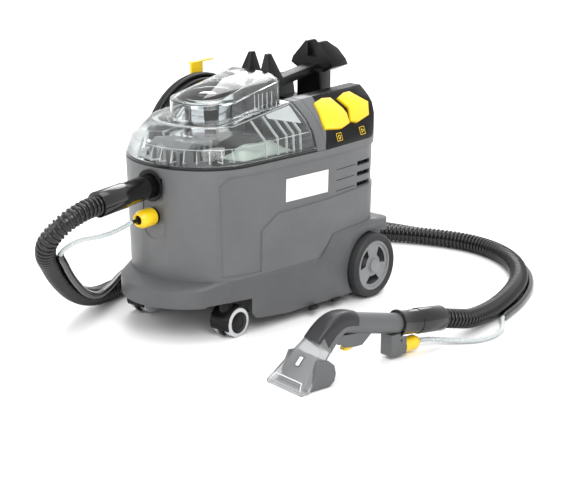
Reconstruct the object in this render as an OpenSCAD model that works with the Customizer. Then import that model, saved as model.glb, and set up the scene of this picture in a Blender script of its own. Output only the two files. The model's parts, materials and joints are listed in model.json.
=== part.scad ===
// Carpet spray-extraction machine: a wheeled housing with a clear-lidded waste tank,
// a suction hose with a spray tube beside it, and a hand nozzle on the hose's end.
// X runs from the bumper (-X) to the rear wheels (+X), -Y is the switch side, Z is up from the floor.

/* [Housing] */
// Length of the housing, bumper tip to rear corner
body_len = 488; // [470:1:600]
// Width of the lower skirt
skirt_w = 300; // [290:1:370]
// Height of the grey shell's upper edge
rim_z = 290; // [280:1:350]
// Height of the deck under the shell
deck_z = 100; // [96:1:104]
// Wall of the grey shell
shell_wall = 8; // [7:0.5:10]
// Wall of the skirt and the covers
skin = 3; // [2.5:0.5:4]
// Height of the switch ridges above the shell's edge
ridge_h = 80; // [70:1:90]
// Depth of the recessed side panels
recess = 3; // [2:0.5:4]

/* [Wheels] */
// Radius of the rear wheels
wheel_r = 58; // [50:1:60]
// Width of the rear tyres
wheel_w = 35; // [28:1:40]
// Radius of the rear axle
axle_r = 6; // [5:0.5:8]
// Radius of the caster wheels
caster_r = 25; // [20:1:26]
// Distance the caster wheels trail behind their stem
caster_trail = 10; // [6:1:12]
// Radius of the caster stems
stem_r = 5.5; // [4:0.5:7]
// Running clearance of shafts and stems
run_gap = 0.05; // [0.02:0.01:0.1]

/* [Tank] */
// Height of the waste tank's floor
tank_floor_z = 150; // [140:1:180]
// Wall of the waste tank and its lid
tank_wall = 2.5; // [2:0.5:4]
// Inset of the waste tank from the shell's outline at its top
tank_inset = 20; // [18:1:24]
// Radius of the clear tower on the lid
tower_r = 64; // [56:1:66]
// Height of the tower above the rim
tower_h = 107; // [90:1:112]
// Outer radius of the float's cage
cage_r = 40; // [30:1:42]
// Height of the cage's top above the rim
cage_top = 88; // [80:1:90]
// Drop of the tower's front edge below its rear
tower_drop = 14; // [6:1:16]

/* [Switches and handle] */
// Gap round each push button
button_gap = 0.6; // [0.4:0.1:1]
// Travel of each push button
button_travel = 3; // [2:0.5:4]
// Height of the handle's forks above the switch ridges
fork_rise = 70; // [66:1:90]
// Half width of the handle's bar
bar_hw = 12; // [9:1:16]

/* [Hose] */
// Outer diameter of the suction hose
hose_d = 34; // [30:1:38]
// Radius of the hose cuff's spigot
cuff_r = 19; // [16:0.5:19]
// Downward tilt of the suction port in degrees
port_tilt = 3.5; // [0:0.5:6]
// Height of the suction port
port_z = 259; // [250:1:262]
// Height of the spray port
spray_z = 206; // [200:1:212]
// Diameter of the sheath beside the hose
sheath_d = 13; // [10:1:15]
// Diameter of the clear spray tube
spray_d = 8; // [6:1:10]
// Radius of the spray coupling's bore
coupling_bore = 8; // [7:0.5:9]

/* [Power cord] */
// Diameter of the power cord
cord_d = 8; // [7:0.5:9]
// Mean radius of the cord's coil on its hooks
coil_r = 124; // [112:1:128]
// Layers of the coil outwards from its middle
coil_layers = 4; // [3:1:5]
// Turns of the coil side by side
coil_rows = 3; // [2:1:4]

/* [Hidden] */
$fn = 48;
eps = 0.01;

x_front = -body_len / 2;
x_rear = body_len / 2;
half_w = skirt_w / 2;
body_hw = half_w - 2;

// Grey shell outline: a half ellipse at the nose, flaring sides and round rear corners
nose_a = 115;
nose_b = half_w - 22;
nose_cx = x_front + 143;
nose_x = nose_cx - nose_a;
flare_x = x_rear - 178;
shell_rear_x = x_rear - 19;
shell_corner = 50;
foot_in = 5;

// Plane where the clear lid ends and the switch cover's band begins
split_x = x_rear - 206;
band_len = 22;
split_gap = 1.5;
band_x = split_x + band_len;

// Rim stack between shell and lid
seal_t = 2.5;
flange_z = rim_z + seal_t;
flange_t = 3.5;
lid_z = flange_z + flange_t;

// Switch cover section, each point as width from the middle and height
ridge_z = rim_z + ridge_h;
fork_z = ridge_z + fork_rise;
trough_z = ridge_z - 34;
trough_hw = 60;

// Rear wheels
wheel_x = x_rear - 63;
tyre_in_y = half_w - 20;
arch_gap = 5.5;
arch_r = wheel_r + arch_gap;
rim_r = wheel_r - 13;

// Casters
stem_x = x_front + 100;
stem_y = half_w - 52;
caster_half = 19.5;
caster_web = 4;
caster_gap = 1.2;
caster_axle_r = 3;
hood_r = caster_r + 4;
hood_top = caster_r + hood_r + 7;
boss_z = hood_top + 0.6;

// Motor bay
motor_x = split_x + 97;
motor_r = 48;
fan_r = 66;
fan_z = 228;
fan_top = rim_z + 10;
duct_hw = 24;

// Waste tank
tank_taper = 12;
tank_rear_x = split_x - 4;
tower_x = nose_cx + 26;
cage_foot = 40;

// Buttons, in a frame that lies on the switch panel with its kink as origin
kink_y = body_hw - 27;
kink_z = rim_z + 55;
panel_tilt = 51.3;
button_x = [split_x + 64, split_x + 130];
spray_outline = [[-22, 24], [-33, -9], [-37, -28], [6, -34], [29, -29], [34, -11], [22, 26], [1, 29]];
vacuum_outline = [[-27, 22], [-19, -3], [-31, -26], [-14, -31], [21, -24], [36, -1], [12, 29], [-5, 29]];

// Cord coil and hooks
coil_in = coil_r - coil_layers * cord_d / 2;
coil_out = coil_r + coil_layers * cord_d / 2;
coil_x = x_rear - 164;
coil_z = rim_z - 50;
coil_y = half_w + 4;
coil_t = coil_rows * cord_d;
hook_hw = 12;
hook_x = coil_x + 14;
hook_top = coil_z + sqrt(pow(coil_in, 2) - pow(hook_x - coil_x + hook_hw, 2)) - 0.6;
pivot_z = hook_top - 7;
pivot_r = 5;
hook_end_y = coil_y + coil_t + 3;
gland_x = coil_x - 78;
gland_z = coil_z;
cord_y = coil_y + cord_d / 2;
plug_x = coil_x - coil_out + cord_d / 2;
plug_y = coil_y + coil_t - cord_d / 2;
plug_z = coil_z - 118;
pin_r = 2.4;
pin_pitch = 19;

// Hose and nozzle. The nozzle's own frame starts at its mouth on the floor and runs back along the tube.
cuff_start = 10;
cuff_len = 125;
cuff_d = [40, 43];
nozzle_at = [-268, -328, 0];
nozzle_yaw = -11;
tube_r = 17;
throat_at = [78, 66];
trigger_at = [131, 50];
elbow_at = [112, 84];
ring_at = [234, 56];
cuff_at = [331, 44];
coupling_z = 15.5;
coupling_r = 12.5;

// Route of the suction hose's centreline from the machine's cuff to the nozzle's cuff
hose_pts = [[-339, 0, 251], [-372, 0, 247], [-404, 8, 232], [-421, 26, 205], [-408, 48, 176],
    [-378, 72, 148], [-345, 96, 118], [-308, 120, 88], [-266, 143, 58], [-220, 162, 34],
    [-170, 178, 20], [-100, 194, 17], [-20, 206, 17], [70, 212, 17], [160, 213, 17],
    [250, 200, 17], [335, 172, 17], [410, 118, 17], [466, 40, 17], [505, -50, 17],
    [521, -135, 17], [503, -215, 17], [455, -283, 17], [385, -335, 17], [300, -370, 17],
    [215, -391, 18], [140, -400, 24], [95, -397.5, 34], [57, -391, 44]];
// Turn of the sheath about the hose, 0 beside it on the left of the way it runs, 90 on top of it
sheath_turn = [180, 180, 180, 180, 180, 170, 140, 100, 85, 75, 70, 65, 60, 50, 25, 0, -20, -28, -28,
    -28, -28, -28];
// The point of the hose's route beside which the sheath begins
sheath_first = 4;
// Routes of the bare spray tube, from the machine to its sheath and from the sheath to the nozzle
spray_pts_machine = [[-263, 0, 206], [-285, -1, 202], [-312, -1, 199], [-340, 2, 198], [-364, 8, 198],
    [-382, 17, 192]];
spray_pts_nozzle = [[196, -425, 5.5], [168, -441, 4.5], [135, -448, 4.5], [103, -442, 4.5], [78, -425, 6],
    [55, -405, 9], [33, -389, 13], [12, -382.5, coupling_z]];
// Route of the power cord from its gland into the coil, and out of the coil to the plug
cord_in_pts = [for (drop = [38, 58, 78]) [gland_x, cord_y, gland_z - drop]];
cord_out_pts = [for (drop = [22, 32, 42, 53]) [plug_x, plug_y, coil_z - drop]];

// ---------- outlines and sweeps ----------

function unit(v) = v / norm(v);
function arc(c, r, a0, a1, n) =
    [for (i = [0:n]) let (a = a0 + (a1 - a0) * i / n) [c[0] + r[0] * cos(a), c[1] + r[1] * sin(a)]];
// A closed outline that runs anticlockwise, moved inwards by t
function inset(pts, t) = let (n = len(pts)) [for (i = [0:n - 1])
    let (p = pts[i], d1 = unit(p - pts[(i + n - 1) % n]), d2 = unit(pts[(i + 1) % n] - p),
        n1 = [-d1[1], d1[0]], n2 = [-d2[1], d2[0]]) p + t * (n1 + n2) / (1 + n1 * n2)];
function mirror_y(pts) = [for (i = [len(pts) - 1:-1:0]) [pts[i][0], -pts[i][1]]];

shell_half = concat(
    arc([shell_rear_x - shell_corner, body_hw - shell_corner], [shell_corner, shell_corner], 0, 90, 6),
    [[flare_x, body_hw]], arc([nose_cx, 0], [nose_a, nose_b], 90, 172.5, 11));
shell_plan = concat(shell_half, [[nose_x, 0]], mirror_y(shell_half));

bumper_in = 47;
bumper_hw = half_w - 57;
bumper_r = (bumper_hw * bumper_hw + bumper_in * bumper_in) / (2 * bumper_in);
bumper_a = atan2(bumper_hw, bumper_in - bumper_r);
skirt_half = concat(arc([x_rear - 20, half_w - 20], [20, 20], 0, 90, 4),
    [[x_rear - 123, half_w], [x_front + 150, half_w - 23]],
    arc([x_front + bumper_r, 0], [bumper_r, bumper_r], bumper_a, 174, 6));
skirt_plan = concat(skirt_half, [[x_front, 0]], mirror_y(skirt_half));

section_half = [[body_hw, rim_z], [body_hw - 11, rim_z + 33], [kink_y, kink_z], [body_hw - 58, ridge_z],
    [trough_hw + 6, ridge_z], [trough_hw, trough_z]];
cover_section = concat(section_half,
    [for (i = [len(section_half) - 1:-1:0]) [-section_half[i][0], section_half[i][1]]]);
cover_cavity = [for (p = inset(cover_section, skin)) p[1] < rim_z + 5 ? [p[0], rim_z - 1] : p];

module slab(plan, z, t = 1) {
    translate([0, 0, z]) linear_extrude(t) polygon(plan);
}
module loft(low, z0, high, z1) {
    hull() {
        slab(low, z0);
        slab(high, z1 - 1);
    }
}
// A side view in X and Z, drawn out across Y from y0 to y1
module across_y(pts, y0, y1) {
    translate([0, y1, 0]) rotate([90, 0, 0]) linear_extrude(y1 - y0) polygon(pts);
}
// A section in Y and Z, drawn out along X from x0 to x1
module along_x(pts, x0, x1) {
    translate([x0, 0, 0]) rotate([90, 0, 90]) linear_extrude(x1 - x0) polygon(pts);
}
module rod_y(x, z, r, y0, y1) {
    translate([x, y0, z]) rotate([-90, 0, 0]) cylinder(h = y1 - y0, r = r);
}
module rod_x(y, z, r, x0, x1) {
    translate([x0, y, z]) rotate([0, 90, 0]) cylinder(h = x1 - x0, r = r);
}
module block(lo, hi) {
    translate(lo) cube(hi - lo);
}

// Directions of a route at each of its points
function heading(p, i) = unit(p[min(i + 1, len(p) - 1)] - p[max(i - 1, 0)]);
function left_of(t) = unit([-t[1], t[0], 0]);
// A tube along a route, with one diameter for each of the route's points
module tube(pts, d, sides) {
    n = len(pts);
    rings = [for (i = [0:n - 1]) let (t = heading(pts, i), a = left_of(t[0] == 0 && t[1] == 0 ? [1, 0, 0] : t),
        b = cross(t, a)) for (k = [0:sides - 1]) let (w = 360 * k / sides)
        pts[i] + d[i] / 2 * (cos(w) * a + sin(w) * b)];
    walls = [for (i = [0:n - 2]) for (k = [0:sides - 1]) let (m = (k + 1) % sides)
        [i * sides + k, (i + 1) * sides + k, (i + 1) * sides + m, i * sides + m]];
    polyhedron(rings, concat(walls, [[for (k = [0:sides - 1]) k]],
        [[for (k = [sides - 1:-1:0]) (n - 1) * sides + k]]));
}

module both_sides() {
    children();
    mirror([0, 1, 0]) children();
}

// ---------- housing ----------

module shell_outer(t) {
    loft(inset(shell_plan, foot_in + t), deck_z, inset(shell_plan, t), rim_z);
}

shoulder_x = x_rear - 194;
shoulder_z = deck_z + 28;
module skirt_solid() {
    slab(skirt_plan, 16, deck_z - 26);
    loft(skirt_plan, deck_z - 11, inset(shell_plan, foot_in), deck_z);
    hull() {
        intersection() {
            slab(skirt_plan, deck_z - 12, 60);
            across_y([[shoulder_x, deck_z - 12], [x_rear + 1, deck_z - 12], [x_rear + 1, shoulder_z + 5],
                [shoulder_x + 43, shoulder_z]], -half_w - 1, half_w + 1);
        }
        intersection() {
            slab(inset(shell_plan, foot_in - 2), deck_z - 12, 60);
            across_y([[shoulder_x - 8, deck_z - 12], [x_rear, deck_z - 12], [x_rear, shoulder_z + 13],
                [shoulder_x + 34, shoulder_z + 8]], -half_w - 1, half_w + 1);
        }
    }
}

module wheel_arch(r, y0, y1) {
    rod_y(wheel_x, wheel_r, r, y0, y1);
    across_y([[wheel_x, wheel_r + r], [x_rear + 5, wheel_r + r - 14], [x_rear + 5, 0], [wheel_x, 0]], y0, y1);
}

deck_screws = [[x_front + 130, 50], [x_front + 210, 88], [x_rear - 90, 70]];
module chassis() color("dimgray") difference() {
    union() {
        difference() {
            skirt_solid();
            slab(inset(skirt_plan, skin + 0.5), 0, deck_z - 13);
            loft(inset(skirt_plan, skin + 0.5), deck_z - 14, inset(shell_plan, foot_in + skin), deck_z - 4);
            block([shell_rear_x + 1, -half_w + 30, deck_z - 6], [x_rear - skin, half_w - 30, shoulder_z]);
        }
        intersection() {
            slab(skirt_plan, 16, deck_z - 18);
            both_sides() difference() {
                wheel_arch(arch_r + skin, tyre_in_y - 8, half_w);
                translate([x_rear - 10, 0, 0]) cube([40, 200, wheel_r * 2]);
            }
        }
        both_sides() translate([stem_x, stem_y, boss_z]) cylinder(h = deck_z - boss_z - 2, r = stem_r + 8);
    }
    shell_outer(-0.15);
    across_y([[x_front - 1, 0], [x_front + 147, 0], [x_front + 147, 25], [x_front + 116, 60],
        [x_front - 1, 60]], -half_w - 1, half_w + 1);
    across_y([[x_front + 140, 0], [wheel_x, 0], [wheel_x, 18], [x_front + 214, 18],
        [x_front + 140, 26]], -half_w - 1, half_w + 1);
    both_sides() {
        wheel_arch(arch_r, tyre_in_y - 4, half_w + 1);
        rod_y(wheel_x, wheel_r, axle_r + run_gap, 0, half_w);
        translate([stem_x, stem_y, 0]) cylinder(h = boss_z, r = norm([hood_r + caster_trail, caster_half]) + 1.5);
        translate([stem_x, stem_y, 0]) cylinder(h = deck_z - 8, r = stem_r + run_gap);
        for (p = deck_screws) translate([p[0], p[1], 0]) cylinder(h = deck_z + 1, r = 2.2);
    }
}

panel_recess_front = [[x_front + 84, deck_z + 6], [x_front + 160, deck_z + 4], [x_front + 160, 174],
    [x_front + 196, 198], [x_rear - 30, 206], [x_rear - 18, rim_z - 12], [x_front + 92, rim_z - 12],
    [x_front + 78, rim_z - 26]];
panel_recess_far = [[x_front + 84, deck_z + 6], [x_front + 160, deck_z + 4], [x_front + 160, 174],
    [x_front + 196, 198], [x_front + 256, 200], [x_front + 256, rim_z - 12], [x_front + 92, rim_z - 12],
    [x_front + 78, rim_z - 26]];
vent_z = [206, 225, 244];
vent_h = 8;
vent_x = x_rear - 94;
pocket_hw = 23;
part_x = split_x + 8;
module port_axis() {
    translate([nose_x + 2, 0, port_z]) rotate([0, -90 - port_tilt, 0]) children();
}
module body_shell() color("gray") difference() {
    union() {
        difference() {
            shell_outer(0);
            loft(inset(shell_plan, foot_in + shell_wall), deck_z + 5, inset(shell_plan, shell_wall), rim_z + 2);
        }
        intersection() {
            block([part_x, -half_w, deck_z + 1], [part_x + 4, half_w, rim_z - 1]);
            shell_outer(2);
        }
        both_sides() for (p = deck_screws) translate([p[0], p[1], deck_z + 1]) cylinder(h = 16, r = 6);
        intersection() {
            both_sides() wheel_arch(arch_r + skin, tyre_in_y - 8, half_w);
            shell_outer(1);
        }
    }
    both_sides() wheel_arch(arch_r, tyre_in_y - 4, half_w + 1);
    difference() {
        union() {
            across_y(panel_recess_front, -half_w - 1, -half_w + 80);
            across_y(panel_recess_far, half_w - 80, half_w + 1);
        }
        shell_outer(recess);
    }
    block([nose_x - 2, -pocket_hw, 190], [nose_x + 5.5, pocket_hw, port_z + 14]);
    rod_x(0, 190, pocket_hw, nose_x - 2, nose_x + 5.5);
    port_axis() translate([0, 0, -30]) cylinder(h = 60, r = cuff_r + 4.2);
    rod_x(0, spray_z, 9.2, nose_x - 5, nose_x + 20);
    rod_x(-half_w + 45, deck_z + 18, 5.2, part_x - 1, part_x + 5);
    rod_x(-half_w + 65, deck_z + 38, 4.2, part_x - 1, part_x + 5);
    for (z = vent_z) block([vent_x, -half_w - 1, z], [vent_x + 37, -half_w + 16, z + vent_h]);
    both_sides() for (p = deck_screws) translate([p[0], p[1], deck_z - 1]) cylinder(h = 14, r = 2.2);
}

module exhaust_grille() color("black") difference() {
    intersection() {
        block([vent_x - 5, -half_w, vent_z[0] - 6], [vent_x + 42, 0, vent_z[2] + vent_h + 6]);
        shell_outer(shell_wall + 0.3);
    }
    shell_outer(shell_wall + 2.7);
    for (z = vent_z) for (k = [0:4])
        block([vent_x + 2 + 7 * k, -half_w, z + 1], [vent_x + 6.5 + 7 * k, -half_w + 20, z + vent_h - 1]);
}

module badge_plate() color("white") {
    intersection() {
        block([split_x - 68, -half_w, rim_z - 76], [split_x + 30, -half_w + 30, rim_z - 36]);
        difference() {
            shell_outer(recess - 1.5);
            shell_outer(recess);
        }
    }
}

module band_solid(x0, x1, plan) {
    intersection() {
        along_x(cover_section, x0, x1);
        slab(plan, rim_z, 200);
    }
}
module cover_hollow(x0, x1, plan) {
    intersection() {
        along_x(cover_cavity, x0, x1);
        slab(plan, rim_z - 5, 200);
    }
}
module seal_band() color("dimgray") difference() {
    band_solid(split_x + 0.5, band_x, shell_plan);
    cover_hollow(split_x + 0.5 + skin, band_x + 1, inset(shell_plan, skin));
    block([split_x - 1, -duct_hw + 2, fan_top + 3], [split_x + 6, duct_hw - 2, trough_z - skin - 4]);
}

module on_panel(x) {
    translate([x, -kink_y, kink_z]) rotate([panel_tilt, 0, 0]) children();
}
module button_prism(outline, grow, depth, height) {
    translate([0, 0, -depth]) linear_extrude(depth + height) polygon(inset(outline, -grow));
}
module rear_cover() color([0.1, 0.1, 0.11]) difference() {
    band_solid(band_x, shell_rear_x, shell_plan);
    cover_hollow(band_x - 1, shell_rear_x - skin, inset(shell_plan, skin));
    on_panel(button_x[0]) button_prism(spray_outline, button_gap, 16, 12);
    on_panel(button_x[1]) button_prism(vacuum_outline, button_gap, 16, 12);
}

// Buttons follow the panel's section, proud by 4 and 6 deep behind its face
module button(x, outline) {
    difference() {
        union() {
            intersection() {
                on_panel(x) button_prism(outline, 0, 20, 14);
                along_x(inset(cover_section, -4), x - 60, x + 60);
            }
            on_panel(x) translate([0, 0, -18]) cylinder(h = 12, r = 5);
        }
        difference() {
            along_x(inset(cover_section, 6), x - 61, x + 61);
            on_panel(x) translate([0, 0, -19]) cylinder(h = 20, r = 5);
        }
    }
}
module button_spray() color("gold") button(button_x[0], spray_outline);
module button_vacuum() color("gold") button(button_x[1], vacuum_outline);
module switch_body(x) {
    on_panel(x) translate([-14, -10, -18 - button_travel - 1 - 24]) cube([28, 20, 24]);
}
module switch_spray() color("black") switch_body(button_x[0]);
module switch_vacuum() color("black") switch_body(button_x[1]);

module carry_handle() color([0.1, 0.1, 0.11]) {
    fx = split_x + 3;
    rx = x_rear - 43;
    block([fx + 4, -30, trough_z], [fx + 36, 30, ridge_z + 26]);
    intersection() {
        across_y([[fx, ridge_z + 24], [fx + 12, fork_z], [fx + 22, fork_z], [fx + 37, ridge_z + 24]], -50, 50);
        along_x([[-38, ridge_z + 24], [38, ridge_z + 24], [22, fork_z], [15, fork_z], [11, ridge_z + 36],
            [-11, ridge_z + 36], [-15, fork_z], [-22, fork_z]], fx - 1, fx + 50);
    }
    across_y([[fx + 30, ridge_z + 2], [rx + 2, ridge_z + 16], [rx + 2, ridge_z + 31], [fx + 30, ridge_z + 16]],
        -bar_hw, bar_hw);
    block([rx - 11, -26, trough_z], [rx + 21, 26, ridge_z + 22]);
    intersection() {
        across_y([[rx - 2, ridge_z + 18], [rx + 30, ridge_z + 18], [rx + 43, ridge_z + 28],
            [rx + 38, fork_z - 14], [rx + 22, fork_z], [rx, fork_z]], -60, 60);
        along_x([[-24, ridge_z + 16], [24, ridge_z + 16], [48, ridge_z + 28], [44, ridge_z + 39], [16, fork_z],
            [10, fork_z], [10, ridge_z + 42], [-10, ridge_z + 42], [-10, fork_z], [-16, fork_z],
            [-44, ridge_z + 39], [-48, ridge_z + 28]], rx - 5, rx + 50);
    }
}

module front_only(x) {
    intersection() {
        children();
        block([x_front - 5, -half_w - 5, 0], [x, half_w + 5, fork_z]);
    }
}
module rim_seal() color("black") front_only(split_x - 0.5) difference() {
    slab(inset(shell_plan, 0.5), rim_z, seal_t);
    slab(inset(shell_plan, shell_wall), rim_z - 1, seal_t + 2);
}

module hose_port() color("black") port_axis() difference() {
    union() {
        translate([0, 0, -19]) cylinder(h = 25, r = cuff_r + 4);
        translate([0, 0, 2.2]) cylinder(h = 4, r = cuff_r + 8);
    }
    translate([0, 0, -20]) cylinder(h = 30, r = cuff_r + run_gap);
}

module spray_port() color("black") {
    x = nose_x + 5.5;
    difference() {
        union() {
            rod_x(0, spray_z, 14, x - 4, x);
            rod_x(0, spray_z, 9, x - 1, x + 4.5);
            rod_x(0, spray_z, coupling_bore, x - 34, x + 4.5);
            rod_x(0, spray_z, spray_d / 2 - 1, nose_x - 47, x + 4.5);
            rod_x(0, spray_z, 4.5, x + 4, nose_x + 19);
        }
        rod_x(0, spray_z, 1.5, nose_x - 48, nose_x + 14);
    }
}

// ---------- inside the rear bay ----------

module motor_mount() color("black") translate([motor_x, 0, deck_z + 5]) difference() {
    cylinder(h = 7, r = motor_r);
    translate([0, 0, -1]) cylinder(h = 9, r = motor_r - 18);
}
module vacuum_motor() color("silver") translate([motor_x, 0, 0]) difference() {
    union() {
        translate([0, 0, deck_z + 12]) cylinder(h = fan_z - deck_z - 12, r = motor_r);
        translate([0, 0, fan_z - 1]) cylinder(h = 9, r = 14);
    }
    translate([0, 0, fan_z - 40]) cylinder(h = 60, r = 4 + run_gap);
}
module motor_shaft() color("lightgray") translate([motor_x, 0, fan_z - 36]) cylinder(h = 76, r = 4);
module impeller() color("silver") translate([motor_x, 0, fan_z + 14]) difference() {
    union() {
        cylinder(h = 3, r = fan_r - 10);
        cylinder(h = 22, r = 12);
        translate([0, 0, 18]) difference() {
            cylinder(h = 3, r = fan_r - 10);
            translate([0, 0, -1]) cylinder(h = 5, r = 20);
        }
        for (k = [0:8]) rotate([0, 0, 40 * k]) translate([18, -1.5, 2]) cube([fan_r - 30, 3, 17]);
    }
    translate([0, 0, -1]) cylinder(h = 30, r = 4);
}
module fan_housing() color("gainsboro") translate([motor_x, 0, fan_z]) difference() {
    cylinder(h = fan_top - fan_z, r = fan_r);
    translate([0, 0, skin]) cylinder(h = fan_top - fan_z - 2 * skin, r = fan_r - skin);
    translate([0, 0, -1]) cylinder(h = 10, r = 14.2);
    translate([0, 0, fan_top - fan_z - 10]) cylinder(h = 20, r = 18);
    translate([0, fan_r - 12, 12]) cube([20, 20, 20]);
}
module suction_duct() color("dimgray") difference() {
    block([split_x + skin + 0.8, -duct_hw, fan_top], [motor_x + 26, duct_hw, trough_z - skin - 1]);
    block([split_x, -duct_hw + 2, fan_top + 2], [motor_x + 24, duct_hw - 2, trough_z - skin - 3]);
    translate([motor_x, 0, fan_top - 1]) cylinder(h = 5, r = 18);
}
pump_y = -half_w + 55;
module spray_pump() color("slategray") {
    block([motor_x - 32, pump_y - 20, deck_z + 5], [motor_x + 6, pump_y + 20, deck_z + 52]);
    rod_x(pump_y, deck_z + 30, 18, motor_x + 6, motor_x + 44);
}
module fresh_filter() color("white") translate([part_x - 54, pump_y - 10, deck_z + 5]) difference() {
    cylinder(h = 30, r = 14);
    translate([0, 0, 2]) cylinder(h = 26, r = 11);
    for (k = [0:5]) rotate([0, 0, 60 * k + 30]) translate([8, -3, 6]) cube([8, 6, 18]);
}
feed_d = 7;
feed_pts = [[motor_x - 32, pump_y + 10, deck_z + 38], [motor_x - 60, pump_y + 10, deck_z + 38],
    [nose_cx + 40, pump_y + 10, deck_z + 38], [nose_cx - 9, pump_y + 14, deck_z + 38],
    [nose_x + 60, pump_y + 42, deck_z + 38], [nose_x + 25, -20, deck_z + 40],
    [nose_x + 16, -2, deck_z + 54], [nose_x + 15, 0, spray_z - 14], [nose_x + 15, 0, spray_z - 4.6]];
module fluid_hoses() color("white") {
    difference() {
        rod_x(pump_y - 10, deck_z + 18, 5, part_x - 40, motor_x - 32);
        rod_x(pump_y - 10, deck_z + 18, 3, part_x - 41, motor_x - 33);
    }
    tube(feed_pts, [for (p = feed_pts) feed_d], 8);
}

// ---------- running gear ----------

module rear_axle() color("silver") rod_y(wheel_x, wheel_r, axle_r, -tyre_in_y - wheel_w + 7, tyre_in_y + wheel_w - 7);
module skid_pads() color("black") both_sides() for (x = [x_rear - 224, x_rear - 164])
    block([x, half_w - 9, 12], [x + 20, half_w - 1, 18]);
// Wheel parts are drawn about Z from the tyre's inner face and turned to face outwards
module on_wheel(side) {
    translate([wheel_x, side * tyre_in_y, wheel_r]) rotate([-90 * side, 0, 0]) children();
}
module tyre(side) {
    on_wheel(side) rotate_extrude($fn = 96) polygon([[rim_r, 3], [rim_r + 4, 0], [wheel_r - 5, 0],
        [wheel_r, 5], [wheel_r, wheel_w - 5], [wheel_r - 5, wheel_w], [rim_r + 4, wheel_w],
        [rim_r, wheel_w - 3]]);
}
module rim_spokes(side) {
    on_wheel(side) difference() {
        union() {
            difference() {
                translate([0, 0, 4]) cylinder(h = wheel_w - 8, r = rim_r);
                translate([0, 0, 3]) cylinder(h = wheel_w - 12, r = rim_r - 5);
                translate([0, 0, wheel_w - 7]) cylinder(h = 10, r = rim_r - 5);
            }
            translate([0, 0, 4]) cylinder(h = wheel_w - 9, r = 14);
        }
        translate([0, 0, 3]) cylinder(h = wheel_w, r = axle_r + run_gap);
        for (k = [0:2]) rotate([0, 0, (side > 0 ? 1 : -1) * 90 + 120 * k]) translate([0, 0, wheel_w - 12])
            linear_extrude(10) polygon(concat(arc([0, 0], [rim_r - 10, rim_r - 10], -33, 33, 8),
                arc([0, 0], [20, 20], 26, -26, 4)));
    }
}
module hub_cap(side) {
    on_wheel(side) translate([0, 0, wheel_w - 5]) cylinder(h = 3, r = 12);
}
module tyre_near() color([0.25, 0.25, 0.26]) tyre(-1);
module rim_near() color("silver") rim_spokes(-1);
module hub_cap_near() color("silver") hub_cap(-1);
module tyre_far() color([0.25, 0.25, 0.26]) tyre(1);
module rim_far() color("silver") rim_spokes(1);
module hub_cap_far() color("silver") hub_cap(1);

caster_x = stem_x + caster_trail;
module caster_fork(side) {
    y = side * stem_y;
    difference() {
        union() {
            rod_y(caster_x, caster_r, hood_r, y - caster_half, y + caster_half);
            translate([stem_x, y, caster_r + 8]) cylinder(h = hood_top - caster_r - 8, r = stem_r + 6);
            translate([stem_x, y, caster_r + 8]) cylinder(h = deck_z - 12 - caster_r - 8, r = stem_r);
        }
        for (span = [[-caster_half - 1, -caster_web], [caster_web, caster_half + 1]]) {
            rod_y(caster_x, caster_r, caster_r + caster_gap, y + span[0], y + span[1]);
            across_y([[caster_x, caster_r], [caster_x - 60, caster_r - 22], [caster_x - 60, -40],
                [caster_x + 60, -40], [caster_x + 60, caster_r + 34]], y + span[0], y + span[1]);
        }
        block([caster_x - 40, y - 6, -10], [caster_x + 40, y + 6, 4]);
        rod_y(caster_x, caster_r, caster_axle_r, y - 20, y + 20);
    }
}
module caster_axle(side) {
    rod_y(caster_x, caster_r, caster_axle_r, side * stem_y - caster_half + 2, side * stem_y + caster_half - 2);
}
module caster_wheels(side) {
    y = side * stem_y;
    for (s = [-1, 1]) difference() {
        rod_y(caster_x, caster_r, caster_r, y + (s < 0 ? -caster_half : caster_web + 1),
            y + (s < 0 ? -caster_web - 1 : caster_half));
        rod_y(caster_x, caster_r, caster_axle_r + run_gap, y - caster_half + (s < 0 ? 1.5 : 0),
            y + caster_half - (s < 0 ? 0 : 1.5));
    }
}
module caster_fork_near() color("black") caster_fork(-1);
module caster_axle_near() color("silver") caster_axle(-1);
module caster_wheels_near() color("lightgray") caster_wheels(-1);
module caster_fork_far() color("black") caster_fork(1);
module caster_axle_far() color("silver") caster_axle(1);
module caster_wheels_far() color("lightgray") caster_wheels(1);

module screws() color("silver") both_sides() for (p = deck_screws) translate([p[0], p[1], 0]) {
    translate([0, 0, deck_z - 7.5]) cylinder(h = 2.5, r = 4);
    translate([0, 0, deck_z - 5.5]) cylinder(h = 17, r = 2);
}

// ---------- waste tank and lid ----------

module dirty_tank() color([0.15, 0.15, 0.16]) {
    difference() {
        union() {
            front_only(tank_rear_x) loft(inset(shell_plan, tank_inset + tank_taper), tank_floor_z,
                inset(shell_plan, tank_inset), lid_z);
            front_only(split_x - 0.5) slab(inset(shell_plan, 0.5), flange_z, flange_t);
        }
        intersection() {
            loft(inset(shell_plan, tank_inset + tank_taper + tank_wall), tank_floor_z + tank_wall,
                inset(shell_plan, tank_inset + tank_wall), lid_z + 2);
            block([x_front, -half_w, 0], [tank_rear_x - tank_wall, half_w, fork_z]);
        }
        rod_x(0, port_z, cuff_r + 2, nose_x, nose_x + 50);
    }
    difference() {
        intersection() {
            block([nose_x + 10, -50, rim_z - 5], [nose_x + 115, 50, rim_z - 2]);
            front_only(tank_rear_x) loft(inset(shell_plan, tank_inset + tank_taper + 1), tank_floor_z,
                inset(shell_plan, tank_inset + 1), lid_z);
        }
        block([nose_x + 45, -30, rim_z - 6], [nose_x + 90, 30, rim_z]);
    }
}

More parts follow.
